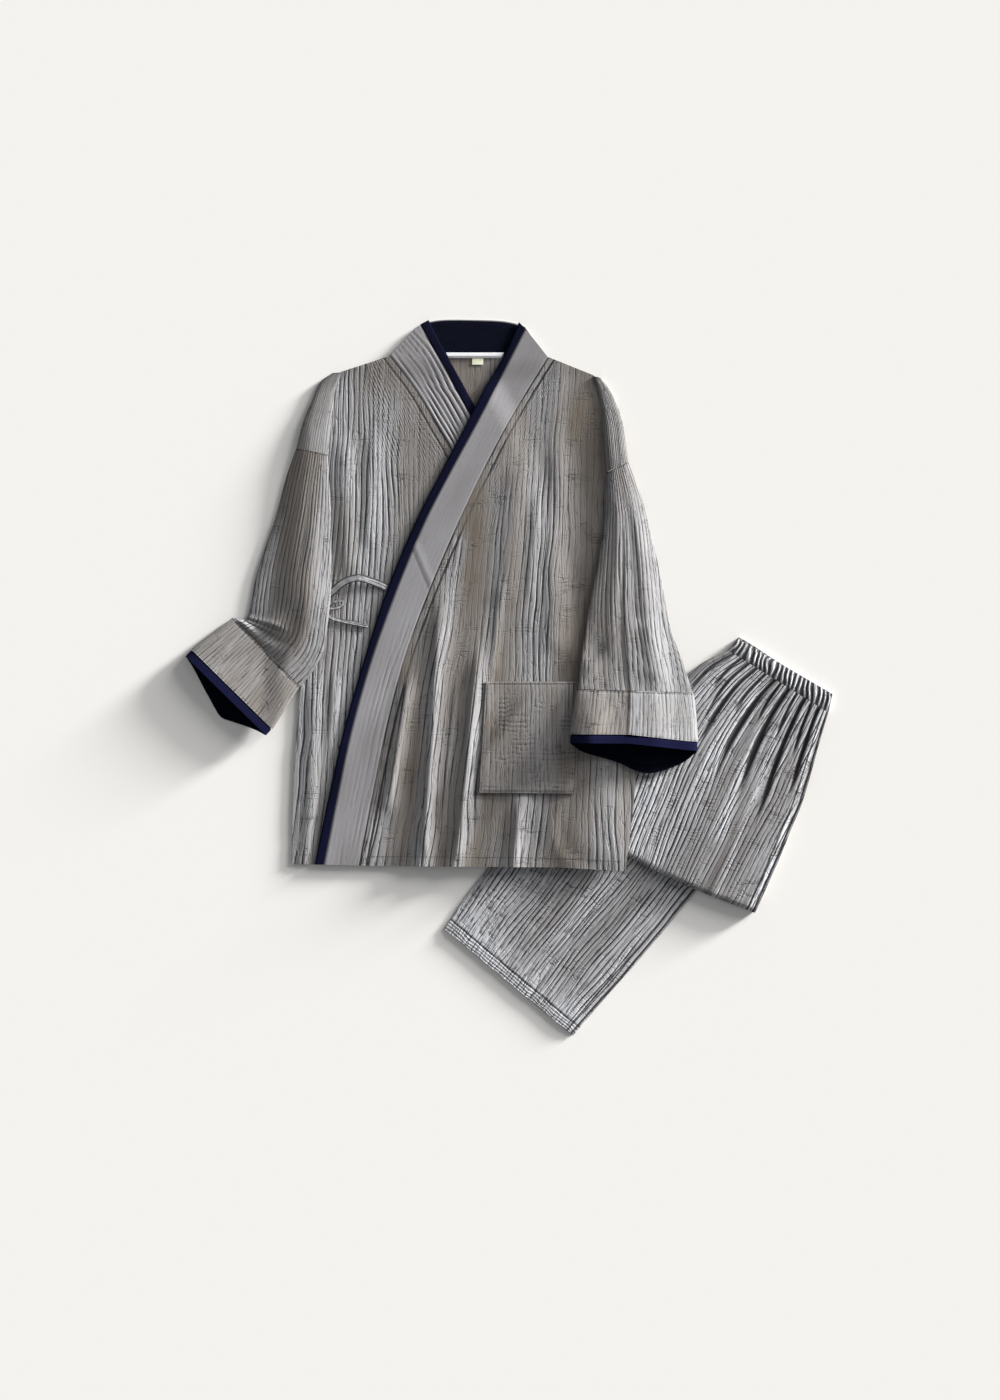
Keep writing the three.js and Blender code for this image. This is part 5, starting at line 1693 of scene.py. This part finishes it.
def colour(red, green, blue):
    """A screen colour, 0 to 255, as the linear values that shaders take."""
    share = np.array([red, green, blue]) / 255
    linear = np.where(share <= 0.04045, share / 12.92, ((share + 0.055) / 1.055) ** 2.4)
    return (*(float(value) for value in linear), 1.0)


def crosswise_lines(finish, crackle):
    """Short lines across the cloth, in patches."""
    patch = (finish.noise((0.3, 0.3, 1.0), 1.1) * 6.0 - 3.5 + crackle).clipped()
    bend = finish.noise((0.45, 0.6, 1.0), 1.0) * CROSSWISE_BEND
    pleated = finish.valleys(1, CROSSWISE_PITCH, 3.6, bend)
    creased = finish.creases((0.1, 1.0, 1.0), 2.2, 0.03)
    return (pleated + creased).clipped() * patch


def gauze(name, smooth_and_shaded, drawn, painted_shade, lines=1.0, crackle=0.4, fineness=0.4, depth=0.7):
    """Crinkled gauze: the colours where it lies smooth, is drawn up and folds in, the last painted shade."""
    finish = Finish(name)
    tone, ridge = finish.attribute("tone"), finish.attribute("ridge")
    blotch = finish.noise((0.5, 0.12, 1.0), 1.6)
    # Partly painted light: the colour goes from taupe to the paler grey as the tone rises.
    body = finish.mix((tone * 0.9 + blotch * 0.3 - 0.12).clipped(), smooth_and_shaded, drawn)
    drawn_up = (finish.noise(YARN_DRIFT, 1.5) * 5.0 - 1.9).clipped() * (tone * 0.8 + 0.2)
    main = finish.valleys(0, RIDGE_PITCH / CLOTH_UNIT, 3.2) * drawn_up
    fine = finish.creases(YARN_ACROSS, 2.2, 0.04) * (tone * 0.8 + 0.25)
    pressed = main * (1.1 - fineness) + fine * fineness + crosswise_lines(finish, crackle) * crackle
    # Painted shade: the crease lines and the low parts of the ridges are mixed towards the dark third colour.
    shaded = finish.mix((pressed * lines - ridge * depth).clipped() * 0.85, body, painted_shade)
    finish.bump(finish.weave(GAUZE_THREAD) * 0.08 - pressed * (1.6 * lines), 0.0006)
    return finish.set(Base_Color=shaded, Roughness=0.9, Specular_IOR_Level=0.15)


def plain_cloth(name, shade, shaded, roughness=0.85):
    """Smooth cloth: `shade` where its tone is 1, `shaded` where it is 0, a little uneven; low tone is painted
    shade.
    """
    finish = Finish(name)
    light = (finish.attribute("tone") + finish.noise((1.0, 1.0, 1.0), 2.5) * 0.3 - 0.15).clipped()
    mottled_and_shaded = finish.mix(light, shaded, shade)
    finish.bump(finish.weave(COTTON_THREAD), 0.00012)
    return finish.set(Base_Color=mottled_and_shaded, Roughness=roughness, Specular_IOR_Level=0.06)


# The third colour of each gauze is painted shade, for its valleys and crease lines.
JACKET = gauze("jacket gauze", colour(111, 102, 92), colour(163, 163, 165), colour(22, 20, 21), lines=1.4)
BAND_CLOTH = gauze("band gauze", colour(131, 128, 128), colour(157, 155, 157), colour(52, 50, 52), lines=0.2)
TROUSER = gauze("trouser gauze", colour(104, 98, 95), colour(206, 206, 209), colour(9, 8, 11),
                lines=1.75, crackle=0.6, fineness=0.5, depth=1.2)
# The navy's second colour is its painted-shade copy, for the inside of the cuffs and the back collar.
NAVY = plain_cloth("navy cotton", colour(16, 17, 46), colour(2, 5, 18))
TAPE = plain_cloth("white tape", colour(250, 250, 250), colour(240, 240, 240))
LABEL = plain_cloth("woven label", colour(240, 240, 214), colour(228, 228, 200), 0.7)
THREAD_GREY = plain_cloth("thread", colour(104, 100, 99), colour(104, 100, 99))
print("materials:", len(bpy.data.materials))

# %% [markdown]
# Every piece gets its material, rides on the part's one body, and replaces the plain piece of its own
# name. The stitches replace nothing.

# %% Dress the pieces
FINISHES = {
    "gauze": (JACKET, (
        "jacket_back", "jacket_front_under", "jacket_front_over", "left_shoulder", "right_shoulder",
        "left_sleeve", "right_sleeve", "left_cuff", "right_cuff", "patch_pocket", "tie_band", "tie_loop",
        "tie_end", "tie_knot",
    )),
    "band_gauze": (BAND_CLOTH, ("collar_band_under", "collar_band_over", "collar_back")),
    "navy": (NAVY, (
        "left_cuff_facing", "right_cuff_facing", "collar_back_facing", "collar_edge_under",
        "collar_edge_over",
    )),
    "tape": (TAPE, ("neck_tape",)),
    "label": (LABEL, ("neck_label",)),
    "trouser_gauze": (TROUSER, (
        "waistband_front", "waistband_back", "trouser_upper", "trouser_inner_folds", "trouser_lower",
        "trouser_lower_layers",
    )),
}
for slot_name, (material, names) in FINISHES.items():
    for name in names:
        made[name].data.materials.append(material)
        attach(made[name], "root")
        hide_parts(name)
for name in made:
    if name.startswith("stitches"):
        made[name].data.materials.append(THREAD_GREY)
        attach(made[name], "root")
print("finishes:", list(FINISHES))

# %% [markdown]
# ## Floor and light
# A pale floor, two suns from the upper right and a pale sky, which fills the shadows. The key is wide and
# soft. The rake is so low that every ridge catches it on one side and shades its other side. Each sun says
# how much of the light on a white floor it gives, so changing its height leaves the floor as bright.

# %% Studio
FLOOR_REACH = 8.0
FLOOR_COLOUR = colour(243, 240, 235)
SKY_COLOUR = (0.93, 0.96, 1.0, 1.0)
SKY_STRENGTH = 0.295

corners = [(x * FLOOR_REACH, y * FLOOR_REACH, 0) for x, y in ((-1, -1), (1, -1), (1, 1), (-1, 1))]
floor_mesh = bpy.data.meshes.new("floor")
floor_mesh.from_pydata(corners, [], [(0, 1, 2, 3)])
floor = bpy.data.objects.new("floor", floor_mesh)
bpy.context.scene.collection.objects.link(floor)
floor_finish = Finish("floor").set(Base_Color=FLOOR_COLOUR, Roughness=0.95, Specular_IOR_Level=0.05)
floor_mesh.materials.append(floor_finish)


def sun(name, azimuth, elevation, softness, floor_share):
    """A far lamp; floor_share is how much of a white floor's light it gives."""
    light = bpy.data.lights.new(name, "SUN")
    light.energy = floor_share * math.pi / math.sin(math.radians(elevation))
    light.angle = math.radians(softness)
    around, up = math.radians(azimuth), math.radians(elevation)
    towards = Vector((math.cos(around) * math.cos(up), math.sin(around) * math.cos(up), math.sin(up)))
    holder = bpy.data.objects.new(name, light)
    holder.rotation_euler = towards.to_track_quat("Z", "Y").to_euler()
    bpy.context.scene.collection.objects.link(holder)


sun("key", azimuth=36, elevation=20, softness=26, floor_share=0.28)
sun("rake", azimuth=32, elevation=8, softness=10, floor_share=0.46)
world = bpy.data.worlds.new("studio")
world.use_nodes = True
world.node_tree.nodes["Background"].inputs["Color"].default_value = SKY_COLOUR
world.node_tree.nodes["Background"].inputs["Strength"].default_value = SKY_STRENGTH
bpy.context.scene.world = world
bpy.context.scene.view_settings.view_transform = "Standard"
print("lamps:", [lamp.name for lamp in bpy.data.lights])

# %% [markdown]
# ## What each cloth was cut from
# Each sheet's flat rectangle and its area are measured as the sheet is made, though the script keeps
# nothing of them. The numbers are read off the grids: the longest column, the widest row square to it,
# and the area. On a tube the width goes all round.
